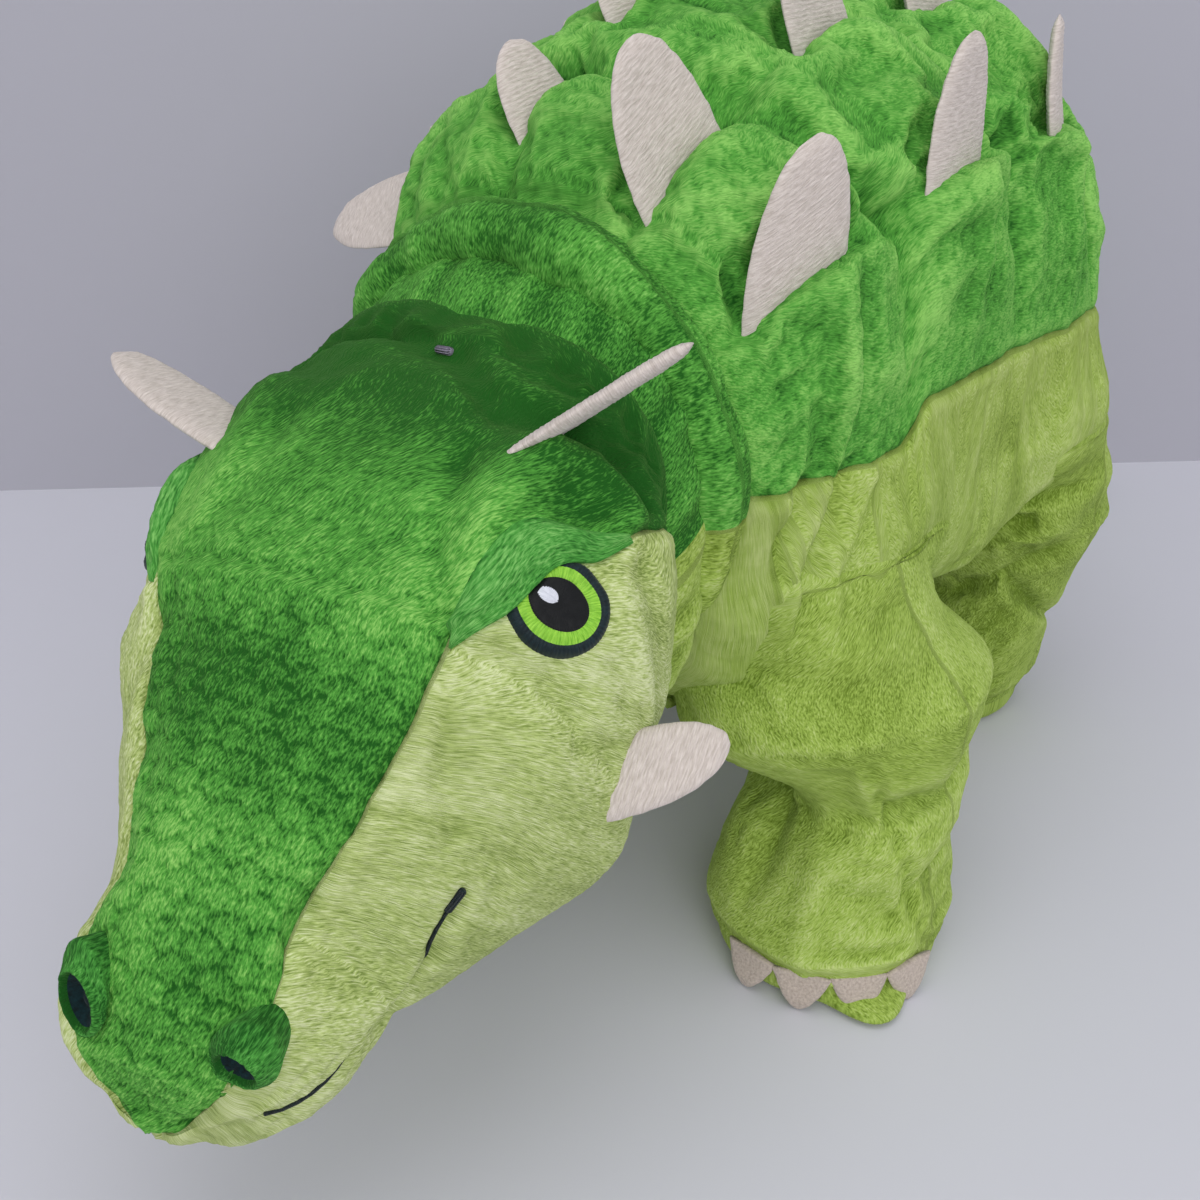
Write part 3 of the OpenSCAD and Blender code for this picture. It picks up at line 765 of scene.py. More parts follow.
def plate_seats(tree):
    """Where each plate stands: its foot, outwards there, its way up, the line of its foot and its size."""
    seats = {}
    for row, y in enumerate(row_places):
        facts = zip(plate_names, plate_angles, plate_leans[row], plate_forward[row])
        for label, angle, lean, forward in facts:
            name = f"plate_{row + 1}_{label}"
            back, twist, share = plate_odd.get(name, (0, 0, 1))
            ends = np.array([y + back - foot_reach, y + back + foot_reach])
            p, normal, _, _ = skin_frame(torso_skin, ends, np.full(2, angle), 2)
            normal = normal * np.sign(np.sum(normal * (p - stack(0, ends, border)), -1, keepdims=True))
            feet = onto(tree, p + normal * OUTSIDE, -normal)
            lean = math.radians(lean)
            way = unit(np.array([math.sin(lean), forward, math.cos(lean)]))
            size = np.array(plate_size) * (1 - 0.03 * row) * share * (1, 0.9 if label == "right_high" else 1)
            along, out = unit(feet[1] - feet[0]), unit(normal.mean(0))
            twist = math.radians(twist)
            along = along * math.cos(twist) + np.cross(out, along) * math.sin(twist)
            seats[name] = feet.mean(0), out, way, along, size
    return seats


def slit(grid, seat):
    """Draws the cloth in to both sides of a plate, so that it stands in a slit."""
    foot, out, way, along, size = seat
    basis = np.stack([along, unit(np.cross(way, along)), way], 1)
    x, y, z = np.moveaxis((grid - foot) @ np.linalg.inv(basis).T, -1, 0)
    limit = -1.4 + 2.0 * np.maximum(np.abs(y) - 2.4, 0) + 2.5 * np.maximum(np.abs(x) - size[0] / 2 - 1, 0)
    near = ease(9, 5, np.abs(y)) * ease(20, 9, np.abs(z))
    return grid - out * (np.clip(z - limit, 0, 6) * near)[..., None]


print("plates in", len(row_places), "rows of", len(plate_names))

# %% Torso filling
row_y = torso_grid[..., 1]
along_plate = np.min([np.abs(row_y - row) for row in row_places], 0) < plate_half - 3
near_plate = np.min([np.abs(torso_columns - angle) for angle in plate_angles], 0) < 1.6
pinned = along_plate & near_plate[None, :]
pinned[: neck_roll + 1] = True
pinned[-tail_roll - 1 :] = True
torso_filled = stuff("torso_bag", torso_grid, pinned, 0.05, 7)
torso_fine = drawn_fine(torso_filled)
seats = plate_seats(cloth_tree(torso_fine))
for seat in seats.values():
    torso_fine = slit(torso_fine, seat)
print("torso drawn fine", torso_fine.shape[:2])

# %% Torso panels
seam_columns = np.cumsum([0] + [span[2] for span in SPANS.values()]) * FINE
back_seam, right_seam, belly_seam, left_seam, whole_round = seam_columns
on_back = np.arange(whole_round) < right_seam
torso = dress(torso_fine, seam_columns[:-1], 1.0, (on_back[None, :] * 0.8, back_seam, ()), False)
brushed = 0.14 * noise(torso["cloth"] * (1, 1.6, 1), 34, 11) + 0.08 * noise(torso["cloth"], 12, 12)
torso["tone"] = torso["tone"] + brushed + 0.12 * on_back
torso_tree = cloth_tree(torso["grid"])
panels = {
    "back_cloth": (back_seam, right_seam, BACK, "green_plush", ("back_panel", "torso_stuffing")),
    "flank_right_cloth": (right_seam, belly_seam, BODY, "lime_plush", ("flank_right",)),
    "belly_cloth": (belly_seam, left_seam, BODY, "lime_plush", ("belly_panel",)),
    "flank_left_cloth": (left_seam, whole_round, BODY, "lime_plush", ("flank_left",)),
}
for name, (first, last, material, slot, nodes) in panels.items():
    settle(sewn_panel(name, torso, first, last, material), "torso", nodes)
print("torso panels", list(panels))

# %% [markdown]
# ## Head
# The head is a bag of four panels: a crown from the neck to the tip of the nose, two cheeks and a chin.
# Cutting a sculpted head along a drawn line would leave a ragged edge, so the columns themselves follow
# the seams: the crown's seam lies low behind the eye, goes up round the lid and then down towards the
# nostrils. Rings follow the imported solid, and lines drawn on it raise the brows and sink the folds.

# %% Head sizes
head_dip, head_turn = 26, 11
# Rings from the neck to the nose: place along the head, half width, top and bottom
head_stations = [
    (32, 62, 56, -46), (50, 71, 57, -56), (75, 70, 54, -59), (102, 60, 45, -50), (128, 47, 36, -40),
    (150, 37, 28, -31), (170, 32, 20, -25), (183, 24, 12, -20), (190, 12, 0, -13),
]
# The crown's left seam: a place counted in rings, and the angle there
crown_seam = [
    (0, 8), (0.4, 17), (1.15, 34), (1.55, 43), (1.85, 53), (2.2, 58), (2.6, 65), (3.15, 62), (4.15, 57),
    (5.3, 51), (6.5, 46), (8, 40),
]
chin_edge, cheek_tucked, brow_drop = 55, 13, 12
mouth_line = ((4.05, 5.5), (4.5, -1), (4.95, -4.5), (5.5, -3.5), (6.5, -1), (7.0, 1))
# Lines drawn on the left of the head, how wide they are, and how far they rise or sink
head_folds = (
    (((2.15, 71), (1.8, 71), (1.3, 66)), 8.0, 4.0),
    (((1.3, 64), (1.1, 55), (1.2, 41)), 7.5, 3.2),
    (((2.45, 69), (2.1, 75), (1.5, 77)), 4.0, -3.5),
    (((0.95, 72), (0.75, 52), (0.85, 36)), 4.5, -3.5),
    (((1.5, 62), (1.35, 50)), 5.0, -2.5),
    (((0.45, 131), (0.35, 103), (0.45, 92), (1.0, 78)), 3.5, -3.0),
    (((2.95, 57), (3.45, 43), (3.7, 26)), 5.0, -2.6),
    (((3.1, 30), (3.2, 12), (3.0, -8)), 8.0, 1.6),
    (((1.75, 34), (2.0, 10), (2.1, -15)), 4.5, 1.8),
    (((1.4, 32), (1.65, 8), (1.75, -15)), 4.0, -1.6),
    (((2.5, 36), (2.65, 18), (2.6, 8)), 4.5, -1.4),
    (mouth_line, 3.0, -2.0),
)
print("head", head_stations[-1][0], "mm long with", len(head_folds), "folds")


# %% Head form
def ahead(along):
    """Points on the head's axis, at lengths from the neck."""
    return turned(dipped(stack(0, -along, 0), head_dip), head_turn)


def head_place(u, x, z):
    """Points beside the head's axis, which bends down and aside from the neck on."""
    along = station_curve(head_stations, u)[..., 0]
    share = ease(0, 2.5, u)
    return neck + ahead(along) + turned(dipped(stack(x, 0, z), head_dip * share), head_turn * share)


def cheek_tuck(u, t):
    """How far the lower back of a cheek is drawn in."""
    return cheek_tucked * ease(3.0, 1.9, u) * (bell(t, -22, 30) + bell(t, 202, 30))


def head_skin(u, t):
    """Points of the filled head at places u along its stations and angles t round it."""
    _, half, top, bottom = np.moveaxis(station_curve(head_stations, u), -1, 0)
    t = (t + 90) % 360 - 90
    c, s = np.cos(np.radians(t)), np.sin(np.radians(t))
    swell = -4 * bell(u, 1.8, 1.0) * bell(t, 140, 26) - cheek_tuck(u, t)
    swell = swell + 1.2 * np.sin(np.radians(t) * 30) * ease(0.5, 0.15, u) * ease(0, 0.3, s)
    for sided, share in ((t, 1), (180 - t, 0.4)):
        for line, width, rise in head_folds:
            swell = swell + share * rise * near_line(u, sided, line, (25, 1.15), width)
    swell = swell + 2.5 * bell(u, 2.6, 0.8) * (bell(t, 8, 22) + bell(t, 172, 22))
    x = (half + swell) * squared(c, 0.68)
    z = (np.where(s > 0, top, -bottom) + swell) * squared(s, 0.68)
    return head_place(u, x, z)


def right_side(u, t):
    """The angle on the right of the head for one on its left. The right brow hangs lower."""
    return 180 - t + brow_drop * bell(u, 2.2, 1.3)


print("head's crown starts at", head_skin(np.array(0.0), np.array(90.0)).round(1))

# %% Head rows and columns
# How many columns each panel has
HEAD_SPANS = {"crown": 40, "right": 34, "chin": 18, "left": 34}
head_row_count = 52


def head_angles(u):
    """Angles of the columns at a place along the head, from its left crown seam on round."""

    def outline(t):
        return head_skin(np.full_like(t, u), t)

    edge = np.interp(u, *zip(*crown_seam))
    corners = (edge, right_side(u, edge), 180 + chin_edge, 360 - chin_edge, 360 + edge)
    parts = zip(corners, corners[1:], HEAD_SPANS.values())
    return np.concatenate([even_angles(outline, a, b, n)[:-1] for a, b, n in parts])


axis_length = np.array(head_stations)[:, 0]
row_length = np.linspace(axis_length[0], axis_length[-1], head_row_count)
head_rows = np.interp(row_length, axis_length, np.arange(len(axis_length)))
head_grid = np.array([head_skin(np.full(sum(HEAD_SPANS.values()), u), head_angles(u)) for u in head_rows])
nose_tip = head_place(np.array(8.0), 0, -6) + ahead(3.5)
nose_rows = np.array([mix(head_grid[-1], nose_tip, k) for k in (0.35, 0.65, 0.9, 0.99)])
nose_rows[:2] += ahead(1.5)
# Rings of the rolled back edge, from the inside out: place along the head, half width, top and bottom
rear_stations = ((30, 51, 48, -37), (24.5, 54, 52, -40), (23.5, 58, 55.5, -43), (27, 61, 57, -45))


def rear_ring(along, half, top, bottom):
    """A ring of the head's back edge, which is turned in over the neck's cloth."""
    t = (head_angles(0.0) + 90) % 360 - 90
    c, s = np.cos(np.radians(t)), np.sin(np.radians(t))
    half, bottom = half - cheek_tuck(0, t), bottom + cheek_tuck(0, t)
    x, z = half * squared(c, 0.68), np.where(s > 0, top, -bottom) * squared(s, 0.68)
    return neck + ahead(along) + stack(x, 0, z)


rolled_rows = np.array([rear_ring(*station) for station in rear_stations])
head_grid = np.concatenate([rolled_rows, head_grid, nose_rows])
print("head grid", head_grid.shape[:2])

# %% Head filling
pinned = np.zeros(head_grid.shape[:2], bool)
pinned[: len(rear_stations)] = True
pinned[-len(nose_rows) - 1 :] = True
head_filled = stuff("head_bag", head_grid, pinned, 0.04, 5)
head_fine = drawn_fine(head_filled)
print("head drawn fine", head_fine.shape[:2])

# %% Head panels
head_cuts = np.cumsum([0] + list(HEAD_SPANS.values())) * FINE
coarse_u = np.concatenate([[-0.4, -0.3, -0.2, -0.1], head_rows, [8, 8.1, 8.2, 8.3]])
row_u = np.interp(np.arange(head_fine.shape[0]) / FINE, np.arange(head_grid.shape[0]), coarse_u)
crown_columns = (np.arange(head_cuts[-1]) < head_cuts[1])[None, :]
crown_scale = (9.0, 5.4)
crown_strength = crown_columns * (0.35 + 0.65 * ease(1.6, 3.2, row_u))[:, None]
head = dress(head_fine, head_cuts[:-1], 0.8, (crown_strength, head_cuts[1] // 2, crown_scale), True)
# The crown is darkest at the neck, with a dark band before the lids and a paler one over them
band = -0.24 * bell(row_u, 3.3, 0.6) - 0.62 * ease(1.9, 0.9, row_u)
band = band - 0.1 * ease(4.5, 6, row_u) + 0.1 * bell(row_u, 2.3, 0.4)
brushed = 0.16 * noise(head["cloth"] * (1, 1.5, 1), 26, 21)
head["tone"] = head["tone"] + crown_columns * band[:, None] + brushed
head_run_out = 60
for name, first, last, material, slot, nodes in (
    ("crown_cloth", head_cuts[0], head_cuts[1], GREEN, "green_plush", ("crown_panel", "head_stuffing")),
    ("cheek_right_cloth", head_cuts[1], head_cuts[2], LIME, "lime_plush", ("cheek_right",)),
    ("chin_cloth", head_cuts[2], head_cuts[3], LIME, "lime_plush", ("chin_panel",)),
    ("cheek_left_cloth", head_cuts[3], head_cuts[4], LIME, "lime_plush", ("cheek_left",)),
):
    settle(sewn_panel(name, head, first, last, material, head_run_out), "head", nodes)
head_tree = cloth_tree(head["grid"])


def head_seat(u, t):
    """The head's cloth at (u, t) and the directions there: outwards, towards the nose, and round."""
    p, normal, along, across = skin_frame(head_skin, u, t, 0.1)
    return onto(head_tree, p + normal * OUTSIDE, -normal), normal, along, across


print("head panels", len(HEAD_SPANS))

# %% [markdown]
# ## Collar
# Where the neck meets the body a roll of cloth goes round the opening, green above and lime below. A
# torus primitive would be too even, so it is a grid of a ring of tube, fuller here and there, wrinkled
# and embossed, and cut in two where the colour changes.

# %% Collar
collar_low, collar_high = (np.array(corner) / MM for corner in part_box("neck_collar"))
collar_tube = (collar_high[1] - collar_low[1]) / 2
collar_radius = (collar_high[0] - collar_low[0]) / 2 - collar_tube
collar_y = (collar_low[1] + collar_high[1]) / 2
collar_turns, collar_sides, collar_girth = 300, 44, 44
around, tube = np.meshgrid(
    np.radians(np.linspace(0, 360, collar_turns, endpoint=False) - 2),
    np.radians(np.linspace(0, 360, collar_sides, endpoint=False)),
    indexing="ij",
)
fat = collar_tube * (1.25 + 0.1 * np.sin(5 * around + 1) + 0.06 * np.sin(11 * around))
reach = collar_radius + 2 + fat * np.cos(tube) * 1.1
round_x, round_z = np.cos(around), np.sin(around)
collar_lies = collar_y - 2.5 + fat * np.sin(tube) * 1.15
collar_grid = stack(neck[0] + reach * round_x, collar_lies, neck[2] + reach * round_z)
collar_cloth = stack(tube / (2 * np.pi) * collar_girth, around * collar_radius, 0)
wrinkles = 1.0 * noise(collar_cloth * (0.5, 1, 1), 11, 31) + 0.6 * noise(collar_cloth * (0.4, 1, 1), 5, 32)
lines = scales(collar_cloth[..., 0], collar_cloth[..., 1])
core = stack(neck[0] + collar_radius * round_x, collar_y, neck[2] + collar_radius * round_z)
collar_out = unit(collar_grid - core)
collar_grid = collar_grid + collar_out * (wrinkles - 0.4 * lines)[..., None]
# Painted light and shade: the crests of the wrinkles are lighter and the embossed grooves darker.
collar_tone = 0.42 + 0.14 * wrinkles - 0.25 * lines + 0.12 * noise(collar_cloth, 20, 33)
green_degrees = 184
green_turns = np.arange(0, int(collar_turns * green_degrees / 360))
lime_turns = np.arange(green_turns[-1], collar_turns + 1) % collar_turns
for name, turns, material, slot in (
    ("collar_top", green_turns, PALE, "pale_plush"),
    ("collar_bottom", lime_turns, BODY, "lime_plush"),
):
    kept = {"cloth": collar_cloth[turns], "tone": collar_tone[turns]}
    piece = cloth_piece(name, collar_grid[turns], kept, material, False, True)
    settle(piece, "torso", ("neck_collar",))
print("collar", collar_turns, "turns")

# %% [markdown]
# ## Neck
# Between the collar and the back of the head a short tube of cloth lies in pleats. A plain cylinder would
# do while the head is still, but the head nods and turns. So the tube starts inside the collar and ends
# narrowed well inside the head.

# %% Neck
# The tube's axis, from inside the collar to the back of the head
neck_from, neck_to = np.array([0, -112.0, 152]), np.array([5.0, -147.0, 139])
neck_rows, neck_columns, neck_end = 66, 420, 1.5
neck_length, neck_radius = 36, 58
neck_angles = np.linspace(0, 2 * np.pi, neck_columns, endpoint=False)
k, t = np.meshgrid(np.linspace(0, neck_end, neck_rows), neck_angles, indexing="ij")
arch = np.sin(np.pi * np.minimum(k, 1))
narrowed = 30 * np.maximum(k - 1, 0)
pleats = (np.sin(26 * t + 2.5 * k) * 0.9 + np.sin(41 * t - 4 * k + 1) * 0.5) * mix(1, 0.5, np.sin(t) > 0)
sag = 12 * arch**0.7 * ease(0, 0.6, -np.sin(t))
swell = 6.5 * arch**0.7 + pleats * arch - narrowed
half_height = np.where(np.sin(t) > 0, mix(54, 52, k), mix(54, 41, k) + sag) + swell
power = np.where(np.sin(t) > 0, 0.9, 0.7)
neck_axis = neck_from + (neck_to - neck_from) * k[..., None]
neck_grid = neck_axis + stack(
    (mix(54, 56, k) + swell) * squared(np.cos(t), power), 0, half_height * squared(np.sin(t), power)
)
neck_cloth = stack(k * neck_length, t * neck_radius, 0)
# Painted light and shade: the crests of the pleats are lighter and their troughs darker.
neck_tone = 0.3 + 0.14 * pleats + 0.1 * noise(neck_cloth, 8, 35)
left_seam_column, right_seam_column = 5, 205
upper = np.arange(left_seam_column, right_seam_column + 1)
lower = np.arange(right_seam_column, neck_columns + left_seam_column + 1) % neck_columns
for name, columns, material, slot, lift in (
    ("neck_top", upper, GREEN, "green_plush", 0),
    ("neck_bottom", lower, BODY, "lime_plush", 0.15),
):
    kept = {"cloth": neck_cloth[:, columns], "tone": neck_tone[:, columns] + lift}
    piece = cloth_piece(name, neck_grid[:, columns], kept, material, True)
    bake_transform(piece)
    describe(piece, ("neck_gusset",))
print("neck tube", neck_grid.shape[:2])

# %% [markdown]
# ## Legs
# Each leg is a slack sleeve of lime plush that hangs from under the flank to a foot. A simulation could
# find its creases by itself, but not those of the photograph, so they are drawn first and then filled.
# The leg swings at the hip. At the top its cloth is laid on the filled flank.

# %% Leg sizes
# Rings of a sleeve from the sole up: height, half width, half depth and how far it has come to the hip
leg_stations = {
    "front": [
        (10, 34.5, 35.5, 0), (18, 33.5, 35, 0.1), (38, 31, 33, 0.45), (64, 31, 36, 0.85),
        (88, 33.5, 41, 1), (110, 32, 42, 1), (131, 26, 36, 1),
    ],
    "hind": [
        (10, 28, 31.5, 0), (18, 27, 31, 0.1), (38, 24.5, 29, 0.35), (64, 23, 30, 0.6),
        (88, 25, 35, 0.85), (110, 26, 35, 1), (131, 22, 29, 1),
    ],
}
# Where the feet stand, to the side and along the body
foot_place = {"front": (86, -81), "hind": (56, 74)}
sleeve_rows, sleeve_columns = 38, 60
# Creases of a slack leg: height, angle from its outer side, half height, half angle, slope and depth
leg_creases = {
    "front": [
        (56, 230, 9, 44, 0, 13), (82, 236, 15, 42, 0, -15), (85, 325, 12, 28, 0.1, 5),
        (100, 320, 10, 36, 0.25, -2.5), (62, 335, 4, 22, 0, 4), (47, 335, 10, 25, 0, -2.5),
        (47, 328, 5, 24, -1.26, 2.5), (40, 285, 24, 7, 0, -3.5), (44, 256, 15, 12, 0, 5),
        (70, 30, 6, 30, 0.3, 4.5), (48, 80, 6, 34, -0.2, 4), (80, 150, 7, 40, 0.2, 4),
        (40, 190, 8, 26, 0.2, 4),
    ],
    "hind": [
        (60, 265, 7, 22, 0.2, 6), (80, 320, 8, 32, 0.2, 5), (52, 345, 5, 30, -0.3, 4),
        (98, 330, 10, 36, 0.2, -2), (46, 60, 6, 34, 0.3, 4), (76, 140, 7, 40, 0.2, 4),
        (38, 200, 7, 26, 0.2, 4), (30, 300, 12, 10, 0, -2.5),
    ],
}
LEGS = [(end, label, side) for end in ("front", "hind") for label, side in (("left", 1), ("right", -1))]
print("legs", len(LEGS))


# %% Leg form
def leg_grid(end, side):
    """Rings of a leg's sleeve from the sole up, tucked in under the flank at the top."""
    table = np.array(leg_stations[end], float)
    z = np.linspace(table[0, 0], table[-1, 0], sleeve_rows)
    u = np.interp(z, table[:, 0], np.arange(len(table)))
    _, half, depth, share = station_curve(table, u).T
    hip = joint_place[f"{end}_left_swing"]
    foot = foot_place[end]
    x, y = mix(foot[0], hip[0], share), mix(foot[1], hip[1], share)
    flank_t = np.linspace(300, 372, 200)
    flank = torso_skin(np.full_like(flank_t, hip[1]), flank_t)
    flank_x = np.interp(z, flank[:, 2], flank[:, 0])
    outside = flank_x + 3.5 - 6.5 * ease(116, 131, z)
    x = mix(x, outside - half, ease(84, 116, z))
    degrees = np.linspace(0, 360, sleeve_columns, endpoint=False)[None, :]
    t = np.radians(degrees)
    tall, slack = z[:, None], 0
    for height, angle, high, wide, slope, deep in leg_creases[end]:
        turn = (degrees - angle + 180) % 360 - 180
        slack = slack - deep * bell(tall - slope * turn, height, high) * bell(turn, 0, wide)
    return stack(
        side * (x[:, None] + (half[:, None] + slack) * squared(np.cos(t), 0.92)),
        y[:, None] + (depth[:, None] + slack) * squared(np.sin(t), 0.92),
        tall,
    )


def tuck_under_flank(grid, side):
    """Lays the outer top of a sleeve on the filled flank, and its edge under it."""
    start = grid * (0, 1, 1) + stack(side * 160, 0, 0)
    flank = onto(torso_tree, start, np.array([-side, 0.0, 0]), 150)
    met = np.abs(flank[..., 0]) < 150
    wanted = np.abs(flank[..., 0]) + 2.2 - 4.2 * ease(122, 131, grid[..., 2])
    outward = ease(-0.3, 0.9, side * (grid[..., 0] - grid[..., 0].mean(1, keepdims=True)) / 26)
    share = met * ease(102, 126, grid[..., 2]) * outward
    grid[..., 0] = mix(grid[..., 0], side * wanted, share)
    return grid


print("sleeve grid", leg_grid("front", 1).shape[:2])

# %% Sleeves
for end, label, side in LEGS:
    name = f"{end}_{label}"
    rest = leg_grid(end, side)
    pinned = np.zeros(rest.shape[:2], bool)
    pinned[:2] = True
    pinned[-3:] = True
    filled = tuck_under_flank(stuff(name + "_bag", rest, pinned, 0.07, 6), side)
    form = dress(drawn_fine(filled), [], 1.2, None, side > 0)
    # Painted shade: the hind sleeves are toned darker for the body's shadow over them; the front ones a
    # little darker too.
    form["tone"] = form["tone"] + 0.14 * noise(form["cloth"], 28, 41) - (0.14 if end == "hind" else 0.04)
    hem = mix(form["grid"][:1], form["grid"][:1].mean(1, keepdims=True), 0.09) - stack(0, 0, 1.0)
    grid = np.concatenate([hem, form["grid"]])
    kept = {key: np.concatenate([form[key][:1], form[key]]) for key in ("cloth", "tone")}
    piece = cloth_piece(name + "_sleeve", grid, kept, BODY, side < 0, True)
    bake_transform(piece)
    describe(piece, (f"{name}_leg", f"{name}_stuffing"))
print("sleeves", len(LEGS))

# %% [markdown]
# ## Tail
# The tail tapers from the rump to a stuffed club. Its green upper half and lime lower half are sewn along
# both sides. A cone would be too straight, so its rings have written radii, and it is filled like the
# other bags. It sways at its root.

# %% Tail
tail_droop = 30
# Rings of the tail: place along it, and radius
tail_stations = [
    (-26, 23), (-8, 26.5), (8, 26), (20, 23), (36, 21),
    (56, 19.3), (78, 17.2), (101, 15), (130, 12.8), (136, 9),
]


def tail_way(p):
    """Points of the tail, which droops from its root."""
    return tail_root + dipped(p, -tail_droop)


place = np.linspace(tail_stations[0][0], tail_stations[-1][0], 46)
u = np.interp(place, [st[0] for st in tail_stations], np.arange(len(tail_stations)))
radius = station_curve(tail_stations, u)[:, 1]
t = np.radians(np.linspace(0, 360, 48, endpoint=False))
tail_grid = tail_way(stack(radius[:, None] * np.cos(t), place[:, None], radius[:, None] * np.sin(t)))
pinned = np.zeros(tail_grid.shape[:2], bool)
pinned[:2] = True
pinned[-3:] = True
tail_filled = stuff("tail_bag", tail_grid, pinned, 0.04, 4)
tail_fine = drawn_fine(tail_filled)
half_round = tail_fine.shape[1] // 2
on_top = (np.arange(2 * half_round) < half_round)[None, :] * 1.0
tail = dress(tail_fine, [0, half_round], 0.8, (on_top, 0, ()), False)
tail["tone"] = tail["tone"] + 0.14 * noise(tail["cloth"], 24, 51)
root, past_root = (tail_way(stack(0, along, 0)) for along in (-4, 22))
for name, first, last, material, slot, nodes in (
    ("tail_upper_cloth", 0, half_round, GREEN, "green_plush", ("tail_upper", "tail_stuffing")),
    ("tail_lower_cloth", half_round, 2 * half_round, BODY, "lime_plush", ("tail_lower",)),
):
    piece = sewn_panel(name, tail, first, last, material)
    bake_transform(piece)
    describe(piece, nodes)
print("tail grid", tail_fine.shape[:2])

# %% Club
# Half width, half length and half height
club_size = (31, 27, 24)
club_centre = 130.4 + club_size[1]
a = np.radians(np.linspace(2, 178, 40))[:, None]
t = np.radians(np.linspace(0, 360, 60, endpoint=False))[None, :]
club_grid = stack(
    club_size[0] * np.sin(a) ** 0.9 * np.cos(t),
    club_centre - club_size[1] * np.cos(a),
    club_size[2] * np.sin(a) ** 0.9 * np.sin(t),
)
club_fine = drawn_fine(tail_way(club_grid), 2)
club = dress(club_fine, [0, club_fine.shape[1] // 2], 1.4, (1.0, 0, ()), False)
piece = cloth_piece("tail_club_cloth", club["grid"], club, GREEN, False, True)
settle(piece, "tail", ("tail_club",))
print("club", club_size)

# %% [markdown]
# ## Threads, knit and felt
# The eyes are embroidered in satin stitch, the plates and horns are cut from ribbed beige knit, and the
# claws from taupe felt. A wave could draw the ribs of a knit, but they would be too even: each finish is
# noise, drawn long or short as its fibres lie, and the knit has its ribs in its shape.

# %% Threads, knit and felt
def fibre(name, dark, light, scale, roughness, sheen, bump_size):
    """A finish of fibres in two tones, at a scale along, across and through the cloth."""
    material, tree, shader = new_material(name)
    cloth = node(tree, "ShaderNodeAttribute", attribute_name="cloth").outputs["Vector"]
    grain = streaks(tree, cloth, scale, 4.0)
    tree.links.new(ramp(tree, grain, [(0.3, dark), (0.7, light)]), shader.inputs["Base Color"])
    raised(tree, shader, grain, bump_size)
    shader.inputs["Roughness"].default_value = roughness
    shader.inputs["Specular IOR Level"].default_value = 0.2
    shader.inputs["Sheen Weight"].default_value = sheen
    return material


KNIT = fibre("beige_knit", "#b5a99f", "#ddd2ca", (2.2, 0.3, 1), 0.9, 0.15, 0.0006)
FELT = fibre("taupe_felt", "#a3958a", "#c9bbae", (1.2, 1.2, 1), 0.92, 0.2, 0.0005)
OUTLINE_THREAD = fibre("outline_thread", "#071417", "#14292d", (2.2, 0.4, 1), 0.5, 0.1, 0.0003)
IRIS_THREAD = fibre("iris_thread", "#5f9f1d", "#a5dc4c", (2.6, 0.3, 1), 0.4, 0.1, 0.0003)
PUPIL_THREAD = fibre("pupil_thread", "#020304", "#07090b", (2.2, 0.4, 1), 0.45, 0.1, 0.0003)
SPARK_THREAD = fibre("spark_thread", "#b9bbc6", "#e2e3ea", (2.2, 0.4, 1), 0.45, 0.1, 0.0003)
LINING = fibre("nostril_lining", "#04100f", "#0e2a2e", (0.8, 0.8, 1), 0.95, 0.1, 0.0006)
GREY_THREAD = fibre("grey_thread", "#6d6676", "#9a93a4", (2.0, 0.6, 1), 0.6, 0.1, 0.0003)
print("finishes", len(bpy.data.materials))

# %% [markdown]
# ## Leaves of knit and felt
# A plate, a horn and a claw are all flat leaves with a rounded edge. An outline could be extruded and
# beveled, but its faces would stay flat. So a ball is added, and its rings are drawn out into the leaf's
# outline, flattened, ribbed and slightly curled. Each leaf has its own mesh.

# %% Leaves
RIB_STEP = 1.35


def leaf(name, width, height, thick, tip, foot, rib, seed, material, blunt=0.5):
    """A flat leaf: width along X, height along Z, thickness along Y, as wide as it gets up to its foot."""
    bpy.ops.object.select_all(action="DESELECT")
    rings = 96 if rib else 24
    bpy.ops.mesh.primitive_uv_sphere_add(segments=40, ring_count=rings, radius=1, location=(0, 0, 0))
    piece = bpy.context.object
    piece.name = name
    mesh = piece.data
    co = np.empty(len(mesh.vertices) * 3)
    mesh.vertices.foreach_get("co", co)
    co = co.reshape(-1, 3)
    rise = np.arccos(np.clip(-co[:, 2], -1, 1)) / np.pi
    turn = np.arctan2(co[:, 1], co[:, 0])
    narrowed = 1 - np.clip((rise - foot) / (1 - foot), 0, 1) ** tip
    outline = np.clip(narrowed, 0, 1) ** blunt * np.clip(rise / 0.01, 0, 1)
    edge = np.abs(np.cos(turn))
    flat = np.sqrt(np.clip(1 - edge**6, 0, 1)) * np.sqrt(np.clip(1 - rise**14, 0, 1))
    x = width / 2 * outline * squared(np.cos(turn), 0.75)
    y = thick / 2 * flat * squared(np.sin(turn), 0.35) * np.minimum(1, outline * 2.2)
    z = height * rise
    if rib:
        y = y * (1 + rib * np.sin(2 * np.pi * z / RIB_STEP))
    at = stack(x, y, z)
    at = at + 0.25 * stack(noise(at + 40, 2.2, seed), noise(at + 80, 3, seed) * 0.6, noise(at, 2.2, seed))
    curl = 0.0035 * (1 if seed % 2 else -1)
    at[:, 1] += curl * (at[:, 0] ** 2) - 0.0012 * (seed % 3) * at[:, 2] ** 2
    mesh.vertices.foreach_set("co", (at * MM).ravel())
    add_cloth(mesh, stack(z, x, seed))
    mesh.materials.append(material)
    mesh.shade_smooth()
    return piece


def stand(piece, foot, way, along, sheared=False):
    """Stands a leaf on its foot: its height along way, its width along, or as near as may be."""
    z = unit(np.asarray(way, float))
    x = unit(along if sheared else along - z * np.dot(along, z))
    y = unit(np.cross(z, x))
    place = Matrix([[*row, q * MM] for row, q in zip(np.stack([x, y, z], 1), foot)] + [[0, 0, 0, 1]])
    piece.data.transform(place)
    piece.data.update()
    return piece


